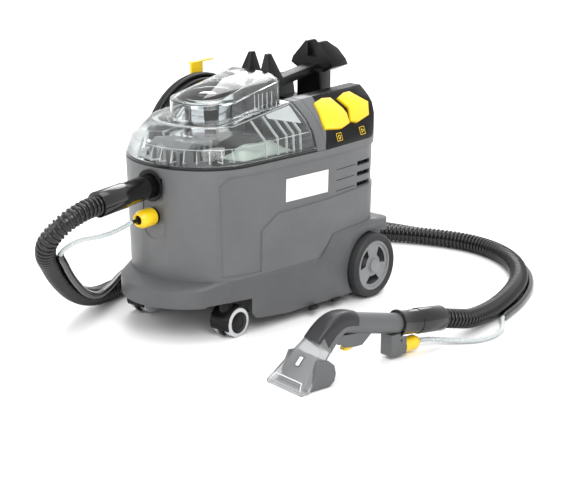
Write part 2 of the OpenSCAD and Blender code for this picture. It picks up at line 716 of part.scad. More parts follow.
sieve_x = nose_x + 42;
module lint_sieve() color("dimgray") difference() {
    across_y([[sieve_x, rim_z - 2], [sieve_x + 62, rim_z - 2], [sieve_x + 62, rim_z + 36],
        [sieve_x + 14, rim_z + 36], [sieve_x, rim_z + 26]], -42, 42);
    across_y([[sieve_x + 2, rim_z - 3], [sieve_x + 60, rim_z - 3], [sieve_x + 60, rim_z + 34],
        [sieve_x + 15, rim_z + 34], [sieve_x + 2, rim_z + 25]], -40, 40);
    for (k = [-2:2]) block([sieve_x - 1, k * 15 - 4, rim_z + 4], [sieve_x + 8, k * 15 + 4, rim_z + 20]);
    for (s = [-1, 1], k = [0:2]) block([sieve_x + 18 + 14 * k, s * 41 - 3, rim_z + 8],
        [sieve_x + 26 + 14 * k, s * 41 + 3, rim_z + 26]);
}

module lid_solid(t) {
    rear = split_x - split_gap - t;
    bottom = lid_z - (t > 0 ? 2 : 0);
    hull() {
        front_only(rear) slab(inset(shell_plan, 1 + t), bottom, 2);
        slab(arc([nose_cx, 0], [102 - t, nose_b - 10 - t], 90, 270, 16), rim_z + 32);
        slab(arc([nose_cx, 0], [64 - t, 88 - t], 90, 270, 16), rim_z + 62 - t, 1);
        along_x([for (p = inset([section_half[1], section_half[2], section_half[3],
            [-section_half[3][0], ridge_z], [-section_half[2][0], kink_z], [-section_half[1][0], rim_z + 33]], t))
            [p[0], min(p[1], ridge_z - t)]], rear - 6, rear);
    }
    hull() {
        translate([tower_x, 0, rim_z + 30])
            cylinder(h = tower_h - tower_drop - 30 - t, r = tower_r - t, $fn = 48);
        along_x([[-63 + t, rim_z + 30], [63 - t, rim_z + 30], [63 - t, rim_z + tower_h + 5 - t],
            [40, rim_z + tower_h + 17 - t], [-40, rim_z + tower_h + 17 - t],
            [-63 + t, rim_z + tower_h + 5 - t]], rear - 6, rear);
    }
}
module tank_lid() color([0.85, 0.9, 0.92, 0.4]) difference() {
    union() {
        difference() {
            lid_solid(0);
            lid_solid(tank_wall);
        }
        intersection() {
            lid_solid(1);
            translate([tower_x, 0, rim_z + cage_top - 8]) cylinder(h = 60, r = cage_r + 3);
        }
    }
    translate([tower_x, 0, rim_z + cage_top - 12]) cylinder(h = 12, r = cage_r + 0.1);
    block([split_x - 20, -duct_hw + 2, fan_top + 3], [split_x + 1, duct_hw - 2, trough_z - skin - 4]);
}
module float_cage() color("silver") translate([tower_x, 0, rim_z + cage_foot]) difference() {
    cylinder(h = cage_top - cage_foot, r = cage_r);
    translate([0, 0, 2]) cylinder(h = cage_top - cage_foot - 4, r = cage_r - 2);
    translate([0, 0, -1]) cylinder(h = 5, r = cage_r - 22);
    translate([0, 0, cage_top - cage_foot - 5]) cylinder(h = 10, r = 14);
}
module float() color("white") translate([tower_x, 0, rim_z + cage_foot + 2]) difference() {
    cylinder(h = 26, r = cage_r - 8);
    translate([0, 0, 2]) cylinder(h = 22, r = cage_r - 10);
}

// ---------- power cord ----------

module cord_hook_arm() color("black") {
    block([hook_x - hook_hw, body_hw + 0.2, rim_z - 50], [hook_x + hook_hw, coil_y - 0.8, hook_top]);
    block([hook_x - hook_hw, coil_y - 1, hook_top - 15], [hook_x + hook_hw, hook_end_y, hook_top]);
    rod_y(hook_x, pivot_z, pivot_r, hook_end_y - 1, hook_end_y + 7);
    rod_y(hook_x, pivot_z, pivot_r + 3, hook_end_y + 6.5, hook_end_y + 9.5);
}
module cord_hook_finger() color("gold") difference() {
    union() {
        rod_y(hook_x, pivot_z, 11, hook_end_y + 1, hook_end_y + 6);
        block([hook_x - 12, hook_end_y + 1, pivot_z], [hook_x + 12, hook_end_y + 6, pivot_z + 40]);
        block([hook_x - 14, hook_end_y + 1, pivot_z + 38], [hook_x + 16, hook_end_y + 6, pivot_z + 60]);
        block([hook_x - 14, hook_end_y + 1, pivot_z + 57], [hook_x + 44, hook_end_y + 11, pivot_z + 60]);
    }
    rod_y(hook_x, pivot_z, pivot_r + run_gap, hook_end_y, hook_end_y + 8);
}
module cord_hook_lower() color("black") {
    x = coil_x - 20;
    z = coil_z - sqrt(pow(coil_in, 2) - pow(20 + hook_hw, 2)) + 0.5;
    block([x - hook_hw, body_hw - 3.6, z], [x + hook_hw, hook_end_y, z + 14]);
    block([x - hook_hw, hook_end_y - 0.5, z - 22], [x + hook_hw, hook_end_y + 4, z + 14]);
}
module cord_gland() color("black") {
    block([gland_x - 10, body_hw + 0.1, gland_z - 10], [gland_x + 10, cord_y + 8, gland_z + 10]);
    translate([gland_x, cord_y, gland_z - 38]) cylinder(h = 28.5, r1 = cord_d / 2 + 0.5, r2 = 7.5);
}
module power_cord() color([0.08, 0.08, 0.08]) {
    tube(cord_in_pts, [for (p = cord_in_pts) cord_d], 8);
    tube(cord_out_pts, [for (p = cord_out_pts) cord_d], 8);
}
module power_coil() color([0.08, 0.08, 0.08]) difference() {
    rod_y(coil_x, coil_z, coil_out, coil_y, coil_y + coil_t, $fn = 96);
    rod_y(coil_x, coil_z, coil_in, coil_y - 1, coil_y + coil_t + 1, $fn = 96);
}
module power_plug() color("black") translate([plug_x, plug_y, plug_z]) {
    cylinder(h = 22, r = 19);
    translate([0, 0, 22]) cylinder(h = 14, r1 = 19, r2 = 12);
    translate([0, 0, 36]) cylinder(h = 29, r1 = 9, r2 = 4.5);
    for (s = [-1, 1]) translate([s * pin_pitch / 2, 0, -19]) cylinder(h = 19.5, r = pin_r);
}

// ---------- hose, spray tube and nozzle ----------

module in_nozzle() {
    translate(nozzle_at) rotate([0, 0, nozzle_yaw]) children();
}
// A round bar between two points of the nozzle's own side view
module nozzle_bar(a, b, r) {
    d = b - a;
    translate([a[0], 0, a[1]]) rotate([0, 90 - atan2(d[1], d[0]), 0]) cylinder(h = norm(d), r = r);
}
module suction_hose() color([0.07, 0.07, 0.07]) {
    tube(hose_pts, [for (p = hose_pts) hose_d], 12);
}
sheath_gap = (hose_d + sheath_d) / 2 + 0.5;
sheath_pts = [for (k = [0:len(sheath_turn) - 1]) let (i = k + sheath_first, t = heading(hose_pts, i),
    l = left_of(t), u = cross(t, l)) hose_pts[i] + sheath_gap * (cos(sheath_turn[k]) * l + sin(sheath_turn[k]) * u)];
module spray_tube() color("white") {
    tube(concat(spray_pts_machine, sheath_pts, spray_pts_nozzle),
        concat([for (p = spray_pts_machine) spray_d], [for (p = sheath_pts) sheath_d],
            [for (p = spray_pts_nozzle) spray_d]), 8);
}
module hose_cuffs() color("black") {
    port_axis() {
        translate([0, 0, -12]) cylinder(h = 24, r = cuff_r);
        translate([0, 0, 7]) cylinder(h = 60, r = cuff_d[0] / 2);
        translate([0, 0, 66]) cylinder(h = cuff_len - 66, r = cuff_d[1] / 2);
    }
    step = cuff_at - ring_at;
    in_nozzle() {
        nozzle_bar(ring_at, ring_at + step * 0.04, cuff_d[1] / 2 + 1);
        nozzle_bar(ring_at + step * 0.035, ring_at + step * 0.45, cuff_d[0] / 2);
        nozzle_bar(ring_at + step * 0.445, cuff_at, cuff_d[1] / 2);
    }
}
module coupling_sleeve(r) {
    difference() {
        union() {
            cylinder(h = 25, r = r);
            translate([0, 0, 25]) cylinder(h = 8, r1 = r, r2 = r - 4);
        }
        translate([0, 0, -1]) cylinder(h = 40, r = coupling_bore + run_gap);
    }
}
module spray_coupling() color("gold") {
    translate([nose_x + 0.5, 0, spray_z]) rotate([0, -90, 0]) coupling_sleeve(15);
}
module tool_coupling() color("gold") in_nozzle() {
    translate([247, 0, coupling_z]) rotate([0, 90, 0]) coupling_sleeve(coupling_r);
}
module nozzle_tube() color("gray") in_nozzle() difference() {
    union() {
        nozzle_bar(elbow_at, ring_at, tube_r);
        nozzle_bar(throat_at, elbow_at, tube_r + 0.5);
        translate([elbow_at[0], 0, elbow_at[1]]) sphere(r = tube_r + 1.5);
        across_y([[100, 66], [116, 44], [138, 41], [152, 41], [176, 60]], -10, 10);
    }
    nozzle_bar(elbow_at + [1, 0], ring_at + [6, -1.3], tube_r - 3);
    nozzle_bar(throat_at * 2 - elbow_at, elbow_at + (elbow_at - throat_at) * 0.2, tube_r - 4);
    difference() {
        across_y([[114, 30], [143, 30], [143, 54], [122, 60], [114, 60]], -6, 6);
        rod_y(trigger_at[0], trigger_at[1], 1.5, -7, 7);
    }
}
throat_tilt = atan2(elbow_at[1] - throat_at[1], elbow_at[0] - throat_at[0]);
// The flat throat of the mouth, set square to the way the air turns into the tube
module throat(half_w, half_h, t, over = 0) {
    translate([throat_at[0], 0, throat_at[1]]) rotate([0, 90 - throat_tilt, 0])
        translate([-half_h, -half_w, -t]) cube([2 * half_h, 2 * half_w, t + over]);
}
module mouth_outer() {
    hull() {
        block([0, -42, 0], [16, 42, 5]);
        throat(17, 15, 3);
    }
}
module nozzle_mouth() color([0.8, 0.85, 0.88, 0.5]) in_nozzle() difference() {
    mouth_outer();
    hull() {
        block([2, -40, -1], [14, 40, 4]);
        throat(14, 12, 5, 1);
    }
}
module nozzle_frame() color("gray") in_nozzle() difference() {
    across_y([[18, 1], [60, 1], [70, 8], [73, 20], [70, 34], [58, 44], [40, 46]], -38, 38);
    mouth_outer();
    block([10, -32, 5], [66, 32, 60]);
}
module nozzle_trigger() color("gold") in_nozzle() difference() {
    across_y([[117, 38], [122, 35.5], [137, 38], [138, 46], [134, 54], [126, 54]], -5.2, 5.2);
    rod_y(trigger_at[0], trigger_at[1], 1.5 + run_gap, -7, 7);
}
module nozzle_valve() color("gray") in_nozzle() {
    difference() {
        block([212, -13, 6], [245, 13, 42.5]);
        nozzle_bar(elbow_at, ring_at, tube_r + 0.1);
        nozzle_bar(ring_at, cuff_at, cuff_d[1] / 2 + 1.1);
        rod_y(234, 30, 2, -14, 14);
    }
    rod_x(0, coupling_z, coupling_bore, 244.5, 276);
    rod_x(0, coupling_z, 3, 275, 285);
}

chassis();
body_shell();
seal_band();
rear_cover();
carry_handle();
rim_seal();
hose_port();
spray_port();
badge_plate();
exhaust_grille();
vacuum_motor();
motor_shaft();
impeller();
fan_housing();
motor_mount();
suction_duct();
spray_pump();
fluid_hoses();
fresh_filter();
switch_spray();
switch_vacuum();
button_spray();
button_vacuum();
cord_hook_lower();
cord_hook_arm();
cord_hook_finger();
cord_gland();
rear_axle();
skid_pads();
screws();
tyre_near();
rim_near();
hub_cap_near();
tyre_far();
rim_far();
hub_cap_far();
caster_fork_near();
caster_axle_near();
caster_wheels_near();
caster_fork_far();
caster_axle_far();
caster_wheels_far();
dirty_tank();
tank_lid();
float_cage();
float();
lint_sieve();
power_cord();
power_coil();
power_plug();
suction_hose();
spray_tube();
hose_cuffs();
spray_coupling();
tool_coupling();
nozzle_tube();
nozzle_mouth();
nozzle_frame();
nozzle_trigger();
nozzle_valve();
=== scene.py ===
import json
import logging
import math
from dataclasses import dataclass
from enum import Enum

import bmesh
import bpy
from mathutils import Matrix, Vector


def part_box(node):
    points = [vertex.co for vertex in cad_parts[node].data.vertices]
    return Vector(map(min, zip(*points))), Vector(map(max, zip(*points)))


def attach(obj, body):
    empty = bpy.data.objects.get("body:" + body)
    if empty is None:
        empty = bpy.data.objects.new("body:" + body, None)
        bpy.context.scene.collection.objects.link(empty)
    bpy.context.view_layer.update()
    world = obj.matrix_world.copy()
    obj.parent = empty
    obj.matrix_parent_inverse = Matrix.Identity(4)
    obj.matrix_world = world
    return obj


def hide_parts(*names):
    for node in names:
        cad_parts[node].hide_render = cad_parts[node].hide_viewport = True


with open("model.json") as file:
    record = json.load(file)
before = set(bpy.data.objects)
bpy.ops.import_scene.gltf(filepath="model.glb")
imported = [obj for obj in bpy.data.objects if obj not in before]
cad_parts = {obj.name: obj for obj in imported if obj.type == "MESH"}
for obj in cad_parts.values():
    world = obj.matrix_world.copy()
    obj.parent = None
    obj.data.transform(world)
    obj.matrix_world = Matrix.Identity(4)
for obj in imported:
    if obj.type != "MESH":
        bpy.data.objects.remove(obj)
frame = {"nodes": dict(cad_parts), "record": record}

LOG = logging.getLogger("carpet_cleaner")
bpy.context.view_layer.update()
MM = 0.001
Colour = tuple[float, float, float]


class Side(Enum):
    """Which side of the machine a twin part sits on."""

    NEAR = -1
    FAR = 1


class Grain(Enum):
    """How a surface's fine relief is patterned."""

    MOULDED = "moulded"
    SMOOTH = "smooth"
    TURNED = "turned"
    CLEAR = "clear"


class Tone:
    """A shader socket that adds, subtracts and multiplies like a number."""

    def __init__(self, tree: bpy.types.NodeTree, socket: bpy.types.NodeSocket) -> None:
        self.tree = tree
        self.socket = socket

    def _math(self, operation: str, left: "Tone | float", right: "Tone | float") -> "Tone":
        node = self.tree.nodes.new("ShaderNodeMath")
        node.operation = operation
        for slot, value in zip(node.inputs, (left, right)):
            if isinstance(value, Tone):
                self.tree.links.new(value.socket, slot)
            else:
                slot.default_value = value
        return Tone(self.tree, node.outputs[0])

    def __add__(self, other: "Tone | float") -> "Tone":
        return self._math("ADD", self, other)

    def __sub__(self, other: "Tone | float") -> "Tone":
        return self._math("SUBTRACT", self, other)

    def __mul__(self, other: "Tone | float") -> "Tone":
        return self._math("MULTIPLY", self, other)

    def __gt__(self, other: "Tone | float") -> "Tone":
        """1 where this tone is the larger, else 0."""
        return self._math("GREATER_THAN", self, other)

    def sine(self) -> "Tone":
        """The sine of the tone."""
        return self._math("SINE", self, 0.0)

    def bearing(self, other: "Tone | float") -> "Tone":
        """The angle whose tangent is this tone over the other."""
        return self._math("ARCTAN2", self, other)


class Graph:
    """The node tree of one material, with its Principled shader at hand."""

    def __init__(self, name: str) -> None:
        self.material = bpy.data.materials.new(name)
        self.material.use_nodes = True
        self.tree = self.material.node_tree
        self.shader = self.tree.nodes["Principled BSDF"]

    def node(self, kind: str, inputs: dict | None = None, **settings) -> bpy.types.Node:
        """Adds one node, with values or sources for its inputs by name, and its own settings."""
        made = self.tree.nodes.new(kind)
        for key, value in settings.items():
            setattr(made, key, value)
        for key, value in (inputs or {}).items():
            self.feed(made.inputs[key], value)
        return made

    def feed(self, socket: bpy.types.NodeSocket, value) -> None:
        """Sets a socket to a value, or links a tone or socket into it."""
        if isinstance(value, Tone):
            self.tree.links.new(value.socket, socket)
        elif isinstance(value, bpy.types.NodeSocket):
            self.tree.links.new(value, socket)
        else:
            socket.default_value = value

    def place(self) -> bpy.types.NodeSocket:
        """The object coordinates, in metres of the shared frame."""
        return self.node("ShaderNodeTexCoord").outputs["Object"]

    def noise(self, scale: float, detail: float = 2.0, place=None) -> Tone:
        """Noise centred on zero, from about -0.5 to 0.5."""
        made = self.node("ShaderNodeTexNoise", {
            "Vector": place or self.place(), "Scale": scale, "Detail": detail})
        return Tone(self.tree, made.outputs["Fac"]) - 0.5

    def axes(self) -> tuple[Tone, Tone, Tone]:
        """The x, y and z of the place, as tones."""
        split = self.node("ShaderNodeSeparateXYZ", {"Vector": self.place()})
        return tuple(Tone(self.tree, out) for out in split.outputs)

    def blend(self, factor: Tone, first, second) -> bpy.types.NodeSocket:
        """A colour that runs from first to second as factor goes from 0 to 1."""
        mix = self.node("ShaderNodeMix", data_type="RGBA")
        self.feed(mix.inputs["Factor"], factor)
        self.feed(mix.inputs[6], first)
        self.feed(mix.inputs[7], second)
        return mix.outputs[2]


def rgba(colour: Colour, gain: float = 1.0) -> tuple[float, float, float, float]:
    """A colour with full alpha, lighter or darker by gain."""
    return tuple(min(1.0, channel * gain) for channel in colour) + (1.0,)


COAT_ROUGHNESS = 0.08
PLASTIC_IOR = 1.46
RELIEF_DEPTH = 0.0004


@dataclass(frozen=True)
class Finish:
    """One finish: its colour, gloss and fine relief, and the record's slot that it stands for.

    Args:
        slot: name of the record's material slot.
        colour: base colour, linear.
        roughness: mean roughness.
        grain: how the fine relief is patterned.
        relief: strength of the fine relief.
        cloud: how far the colour wanders, as a share of itself.
        metallic: 1 for bare metal.
        coat: weight of a clear coat.
        clarity: 1 for clear plastic.
        glint: strength of the plain surface reflection.
        variant: ending of the material's name, where two finishes share a slot.
    """

    slot: str
    colour: Colour
    roughness: float
    grain: Grain = Grain.MOULDED
    relief: float = 0.12
    cloud: float = 0.10
    metallic: float = 0.0
    coat: float = 0.0
    clarity: float = 0.0
    glint: float = 0.5
    variant: str = ""

    def material(self) -> bpy.types.Material:
        """Builds the finish's node material, once.

        Returns:
            The material, shared by every piece with this finish.
        """
        name = "finish_" + self.slot + self.variant
        known = bpy.data.materials.get(name)
        if known:
            return known
        graph = Graph(name)
        cloudy = graph.noise(14.0, 3.0) + graph.noise(90.0, 2.0) * 0.4
        colour = graph.blend(cloudy * 1.4 + 0.5, rgba(self.colour, 1 - self.cloud),
                             rgba(self.colour, 1 + self.cloud))
        smear = graph.noise(35.0, 4.0) * 0.18 + graph.noise(420.0, 1.0) * 0.08 + self.roughness
        settings = {
            "Base Color": self.overlay(graph, colour), "Roughness": smear, "Metallic": self.metallic,
            "Coat Weight": self.coat, "Coat Roughness": COAT_ROUGHNESS,
            "Specular IOR Level": self.glint}
        if self.clarity:
            settings |= {"Transmission Weight": self.clarity, "IOR": PLASTIC_IOR}
        for name_of_input, value in settings.items():
            graph.feed(graph.shader.inputs[name_of_input], value)
        self.emboss(graph)
        return graph.material

    def overlay(self, graph: Graph, colour):
        """Lets a finish paint over its plain colour. The plain finish returns it as it is."""
        return colour

    def emboss(self, graph: Graph) -> None:
        """Feeds the fine relief into the shader's normal."""
        if self.grain is Grain.MOULDED:
            height = graph.noise(1500.0, 2.0) + graph.noise(320.0, 2.0) * 0.5
        elif self.grain is Grain.TURNED:
            spread = graph.node("ShaderNodeMapping", {
                "Vector": graph.place(), "Scale": (40.0, 900.0, 40.0)})
            height = graph.noise(1.0, 3.0, spread.outputs[0])
        else:
            height = graph.noise(60.0, 2.0)
        bump = graph.node("ShaderNodeBump", {
            "Height": height, "Strength": self.relief, "Distance": RELIEF_DEPTH})
        graph.feed(graph.shader.inputs["Normal"], bump.outputs[0])


@dataclass(frozen=True)
class CoverFinish(Finish):
    """Black cover plastic whose front end is dark grey up to a slanted line.

    Args:
        line: x of the line, how far it leans back for each metre up, and the height that x holds at.
        edge: colour in front of the line.
    """

    line: tuple[float, float, float] = (0.080, 0.41, 0.345)
    edge: Colour = (0.13, 0.135, 0.14)

    def overlay(self, graph: Graph, colour):
        """Paints the stretch in front of the slanted line."""
        x, _, z = graph.axes()
        x_line, lean, level = self.line
        behind = (x - (z - level) * lean) > x_line
        return graph.blend(behind, rgba(self.edge), colour)


@dataclass(frozen=True)
class ReflectionStreakFinish(Finish):
    """Bright plate with painted reflections: dark upright streaks round it, painted where a polished
    drum mirrors its dark surroundings.

    Args:
        node: the CAD node whose upright axis the streaks go round.
        streaks: how many streaks there are.
        dark_reflection: colour inside a streak, the painted dark reflection.
        bias: how far the bright share outweighs the dark one.
    """

    node: str = "float_cage"
    streaks: int = 5
    dark_reflection: Colour = (0.012, 0.012, 0.014)
    bias: float = 0.02

    def overlay(self, graph: Graph, colour):
        """Paints the dark reflection streaks over the plain colour."""
        x, y, _ = graph.axes()
        low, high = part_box(self.node)
        angle = y.bearing(x - (low[0] + high[0]) / 2)
        wave = (angle * float(self.streaks) + graph.noise(9.0) * 2.5).sine()
        return graph.blend((wave + self.bias) > 0.0, colour, rgba(self.dark_reflection))


SHELL = Finish("shell_grey", (0.105, 0.107, 0.11), 0.42, relief=0.16)
CHASSIS = Finish("chassis_grey", (0.078, 0.08, 0.083), 0.45, relief=0.16)
COVER = CoverFinish("cover_black", (0.003, 0.003, 0.0035), 0.26, relief=0.05, glint=0.18)
BAND = Finish("band_grey", (0.095, 0.1, 0.105), 0.4)
TRIM = Finish("trim_black", (0.0035, 0.0035, 0.004), 0.3, glint=0.2)
YELLOW = Finish("yellow_plastic", (0.82, 0.54, 0.006), 0.32, relief=0.06, cloud=0.05, coat=0.2)
CLEAR = Finish("clear_plastic", (0.93, 0.96, 0.96), 0.05, Grain.CLEAR, relief=0.04, cloud=0.02,
               clarity=1.0)
TANK = Finish("tank_black", (0.008, 0.008, 0.009), 0.2, Grain.SMOOTH, coat=0.2, glint=0.35)
SIEVE = Finish("sieve_grey", (0.2, 0.2, 0.205), 0.35)
# The cage's chrome has painted reflections: dark upright streaks in its colour.
CHROME = ReflectionStreakFinish("cage_chrome", (0.62, 0.63, 0.65), 0.16, Grain.TURNED, relief=0.05,
                      metallic=1.0)
TYRE = Finish("tyre_grey", (0.026, 0.0265, 0.028), 0.6, relief=0.25, glint=0.35)
RIM = Finish("rim_grey", (0.2, 0.205, 0.21), 0.35)
STEEL = Finish("steel", (0.5, 0.5, 0.51), 0.3, Grain.TURNED, metallic=1.0)
CASTER = Finish("caster_white", (0.5, 0.51, 0.52), 0.4)
RUBBER = Finish("rubber_black", (0.005, 0.005, 0.005), 0.48, relief=0.2, glint=0.3)
HOSE = Finish("hose_black", (0.004, 0.004, 0.0045), 0.2, Grain.SMOOTH, relief=0.05, coat=0.1,
              glint=0.45)
CORD = Finish("cord_black", (0.005, 0.005, 0.0055), 0.32, Grain.SMOOTH, glint=0.35)
TUBING = Finish("tube_clear", (0.62, 0.66, 0.66), 0.25, Grain.SMOOTH, clarity=0.35)
WHITE = Finish("white_plastic", (0.7, 0.7, 0.7), 0.4)
BADGE = Finish("badge_white", (0.8, 0.8, 0.79), 0.22, Grain.SMOOTH, coat=0.3)
MOTOR = Finish("motor_metal", (0.55, 0.56, 0.57), 0.35, Grain.TURNED, metallic=1.0)
NOZZLE = Finish("nozzle_grey", (0.085, 0.087, 0.09), 0.4)
BRASS = Finish("pin_brass", (0.03, 0.03, 0.03), 0.4)
MISTED = Finish("clear_plastic", (0.78, 0.79, 0.80), 0.14, Grain.CLEAR, clarity=0.88,
                variant="_misted")
MILKY = Finish("clear_plastic", (0.70, 0.78, 0.70), 0.35, Grain.CLEAR, relief=0.2, clarity=0.3,
               variant="_milky")
# Near-white clear finish of the lid's ribs and fins and the mouth ledge, and of the painted highlight
# lines and painted reflection plates inside the lid.
GLEAM = Finish("clear_plastic", (0.93, 0.95, 0.95), 0.12, Grain.CLEAR, clarity=0.3,
               variant="_gleam")
SADDLE = Finish("band_grey", (0.018, 0.018, 0.02), 0.34, glint=0.35, variant="_saddle")
CUFF = Finish("trim_black", (0.004, 0.004, 0.0045), 0.14, Grain.SMOOTH, coat=0.3, glint=0.4,
              variant="_cuff")
FINISHES = {finish.slot: finish for finish in (
    SHELL, CHASSIS, COVER, BAND, TRIM, YELLOW, CLEAR, TANK, SIEVE, CHROME, TYRE, RIM, STEEL,
    CASTER, RUBBER, HOSE, CORD, TUBING, WHITE, BADGE, MOTOR, NOZZLE, BRASS)}

SLOT_OF = {entry["node"]: entry["material_slot"] for entry in frame["record"]["subparts"]}
SPECIAL = {"hose_cuffs": CUFF, "nozzle_mouth": MISTED}
BODY_OF = {node: body for body, nodes in frame["record"]["behaviour"]["bodies"].items()
           for node in nodes}


def shade(mesh: bpy.types.Mesh, angle: float = 32.0) -> None:
    """Smooths a mesh's faces and keeps edges sharper than the angle, in degrees."""
    for face in mesh.polygons:
        face.use_smooth = True
    mesh.set_sharp_from_angle(angle=math.radians(angle))


def show(name: str, data: bpy.types.ID) -> bpy.types.Object:
    """Puts a mesh, curve, camera or light into the scene as an object."""
    obj = bpy.data.objects.new(name, data)
    bpy.context.scene.collection.objects.link(obj)
    return obj


def piece(name: str, mesh: bpy.types.Mesh, body: str, finish: Finish,
          replaced: tuple[str, ...] = ()) -> bpy.types.Object:
    """Makes a finished piece, hangs it on the empty of the body that it rides on and hides the CAD
    nodes that it stands for.

    Args:
        name: the piece's name.
        mesh: its mesh, in the shared frame.
        body: the CAD body that it rides on.
        finish: its finish.
        replaced: CAD nodes that it stands for.

    Returns:
        The new object.
    """
    obj = show(name, mesh)
    if not mesh.materials:
        mesh.materials.append(finish.material())
    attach(obj, body)
    if replaced:
        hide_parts(*replaced)
    return obj


def mesh_from(name: str, build: bmesh.types.BMesh, angle: float = 32.0) -> bpy.types.Mesh:
    """Turns an edit mesh into a shaded mesh with its faces outwards."""
    bmesh.ops.recalc_face_normals(build, faces=build.faces)
    mesh = bpy.data.meshes.new(name)
    build.to_mesh(mesh)
    build.free()
    shade(mesh, angle)
    return mesh


def ring_of(sides: int) -> list[float]:
    """Angles an even turn apart round a full circle."""
    return [2 * math.pi * k / sides for k in range(sides)]


def loft(build: bmesh.types.BMesh, rings: list[list[bmesh.types.BMVert]], slot: int = 0) -> None:
    """Joins closed rings of as many vertices one after another, and closes both ends.

    Args:
        build: edit mesh that holds the rings.
        rings: the rings in order.
        slot: material slot of the faces.
    """
    for low, high in zip(rings, rings[1:]):
        for k in range(len(low)):
            m = (k + 1) % len(low)
            build.faces.new((low[k], low[m], high[m], high[k])).material_index = slot
    for cap in (rings[0], rings[-1]):
        build.faces.new(cap).material_index = slot


def sweep(build: bmesh.types.BMesh, path: list[Vector], radii: list[float], sides: int = 16,
          slot: int = 0) -> None:
    """Sweeps a closed round tube along a path with turn-free frames.

    Args:
        build: edit mesh that receives the tube.
        path: centreline points.
        radii: one radius for each point.
        sides: facets round the tube.
        slot: material slot of its faces.
    """
    tangent = (path[1] - path[0]).normalized()
    across = tangent.orthogonal().normalized()
    rings = []
    for index, point in enumerate(path):
        ahead = path[min(index + 1, len(path) - 1)] - path[max(index - 1, 0)]
        ahead.normalize()
        across = (tangent.rotation_difference(ahead) @ across).normalized()
        tangent = ahead
        up = tangent.cross(across)
        rings.append([build.verts.new(point + radii[index] * (
            math.cos(turn) * across + math.sin(turn) * up)) for turn in ring_of(sides)])
    loft(build, rings, slot)


SPLIT = 24


def smooth_path(points: list[tuple[float, float, float]], step: float) -> list[Vector]:
    """A smooth curve through points in millimetres, resampled at an even step in metres."""
    knots = [Vector(point) * MM for point in points]
    padded = [knots[0] * 2 - knots[1]] + knots + [knots[-1] * 2 - knots[-2]]
    fine = []
    for a, b, c, d in zip(padded, padded[1:], padded[2:], padded[3:]):
        for k in range(SPLIT):
            t = k / SPLIT
            fine.append(0.5 * (2 * b + (c - a) * t + (2 * a - 5 * b + 4 * c - d) * t * t
                               + (3 * b - a - 3 * c + d) * t ** 3))
    fine.append(knots[-1])
    return resample(fine, step)


def resample(points: list[Vector], step: float) -> list[Vector]:
    """Points an even step apart along a polyline, its ends kept."""
    total = length_of(points)
    count = max(2, round(total / step))
    result, walked, index = [points[0].copy()], 0.0, 0
    for k in range(1, count):
        goal = total * k / count
        while walked + (points[index + 1] - points[index]).length < goal:
            walked += (points[index + 1] - points[index]).length
            index += 1
        edge = points[index + 1] - points[index]
        result.append(points[index] + edge * ((goal - walked) / edge.length))
    result.append(points[-1].copy())
    return result


def length_of(points: list[Vector]) -> float:
    """Length of a polyline."""
    return sum((b - a).length for a, b in zip(points, points[1:]))


WELD = 2e-6
FLAT_WITHIN = 0.6
ROUNDED_OVER = 32.0
ROUNDING_FACETS = 2
SWELL_ALLOWED = 0.0003
SHADED_WITHIN = 40.0


def rounded_copy(node: str, width: float) -> bpy.types.Mesh:
    """A copy of a CAD node's mesh with its sharp edges rounded off.

    Args:
        node: the CAD node.
        width: how far the rounding reaches from each edge, in metres.

    Returns:
        The rounded mesh, or a plain smoothed copy where rounding would swell it.
    """
    source = frame["nodes"][node].data
    build = bmesh.new()
    build.from_mesh(source)
    bmesh.ops.remove_doubles(build, verts=build.verts, dist=WELD)
    bmesh.ops.dissolve_limit(build, angle_limit=math.radians(FLAT_WITHIN), verts=build.verts,
                             edges=build.edges)
    sharp = [edge for edge in build.edges
             if len(edge.link_faces) == 2 and edge.calc_face_angle(0.0) > math.radians(ROUNDED_OVER)]
    bmesh.ops.bevel(build, geom=sharp, offset=width, segments=ROUNDING_FACETS, profile=0.5,
                    affect="EDGES", clamp_overlap=True)
    low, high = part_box(node)
    if all(low[axis] - SWELL_ALLOWED <= vert.co[axis] <= high[axis] + SWELL_ALLOWED
           for vert in build.verts for axis in range(3)):
        bmesh.ops.triangulate(build, faces=[face for face in build.faces if len(face.verts) > 4])
        mesh = bpy.data.meshes.new(node + "_rounded")
        build.to_mesh(mesh)
    else:
        LOG.info("%s keeps its plain edges", node)
        mesh = source.copy()
        mesh.name = node + "_plain"
    build.free()
    mesh.materials.clear()
    shade(mesh, SHADED_WITHIN)
    return mesh


SENSOR_WIDTH = 36.0
SKY_STRENGTH = 1.05
FLOOR_REACH = 12.0
FLOOR_GAP = 0.0002
FLOOR_WHITE = (0.86, 0.86, 0.86)
FLOOR_GAIN = 0.9 / 0.86
LAMPS = (("key", (-1.6, -2.2, 2.6), 2.2, 70.0), ("fill", (-2.6, 1.6, 1.8), 2.4, 34.0),
         ("rim", (2.2, 1.4, 2.2), 1.8, 46.0), ("top", (0.1, 0.0, 3.0), 2.0, 34.0))
LAMPS_AIM = Vector((0.0, 0.0, 0.2))


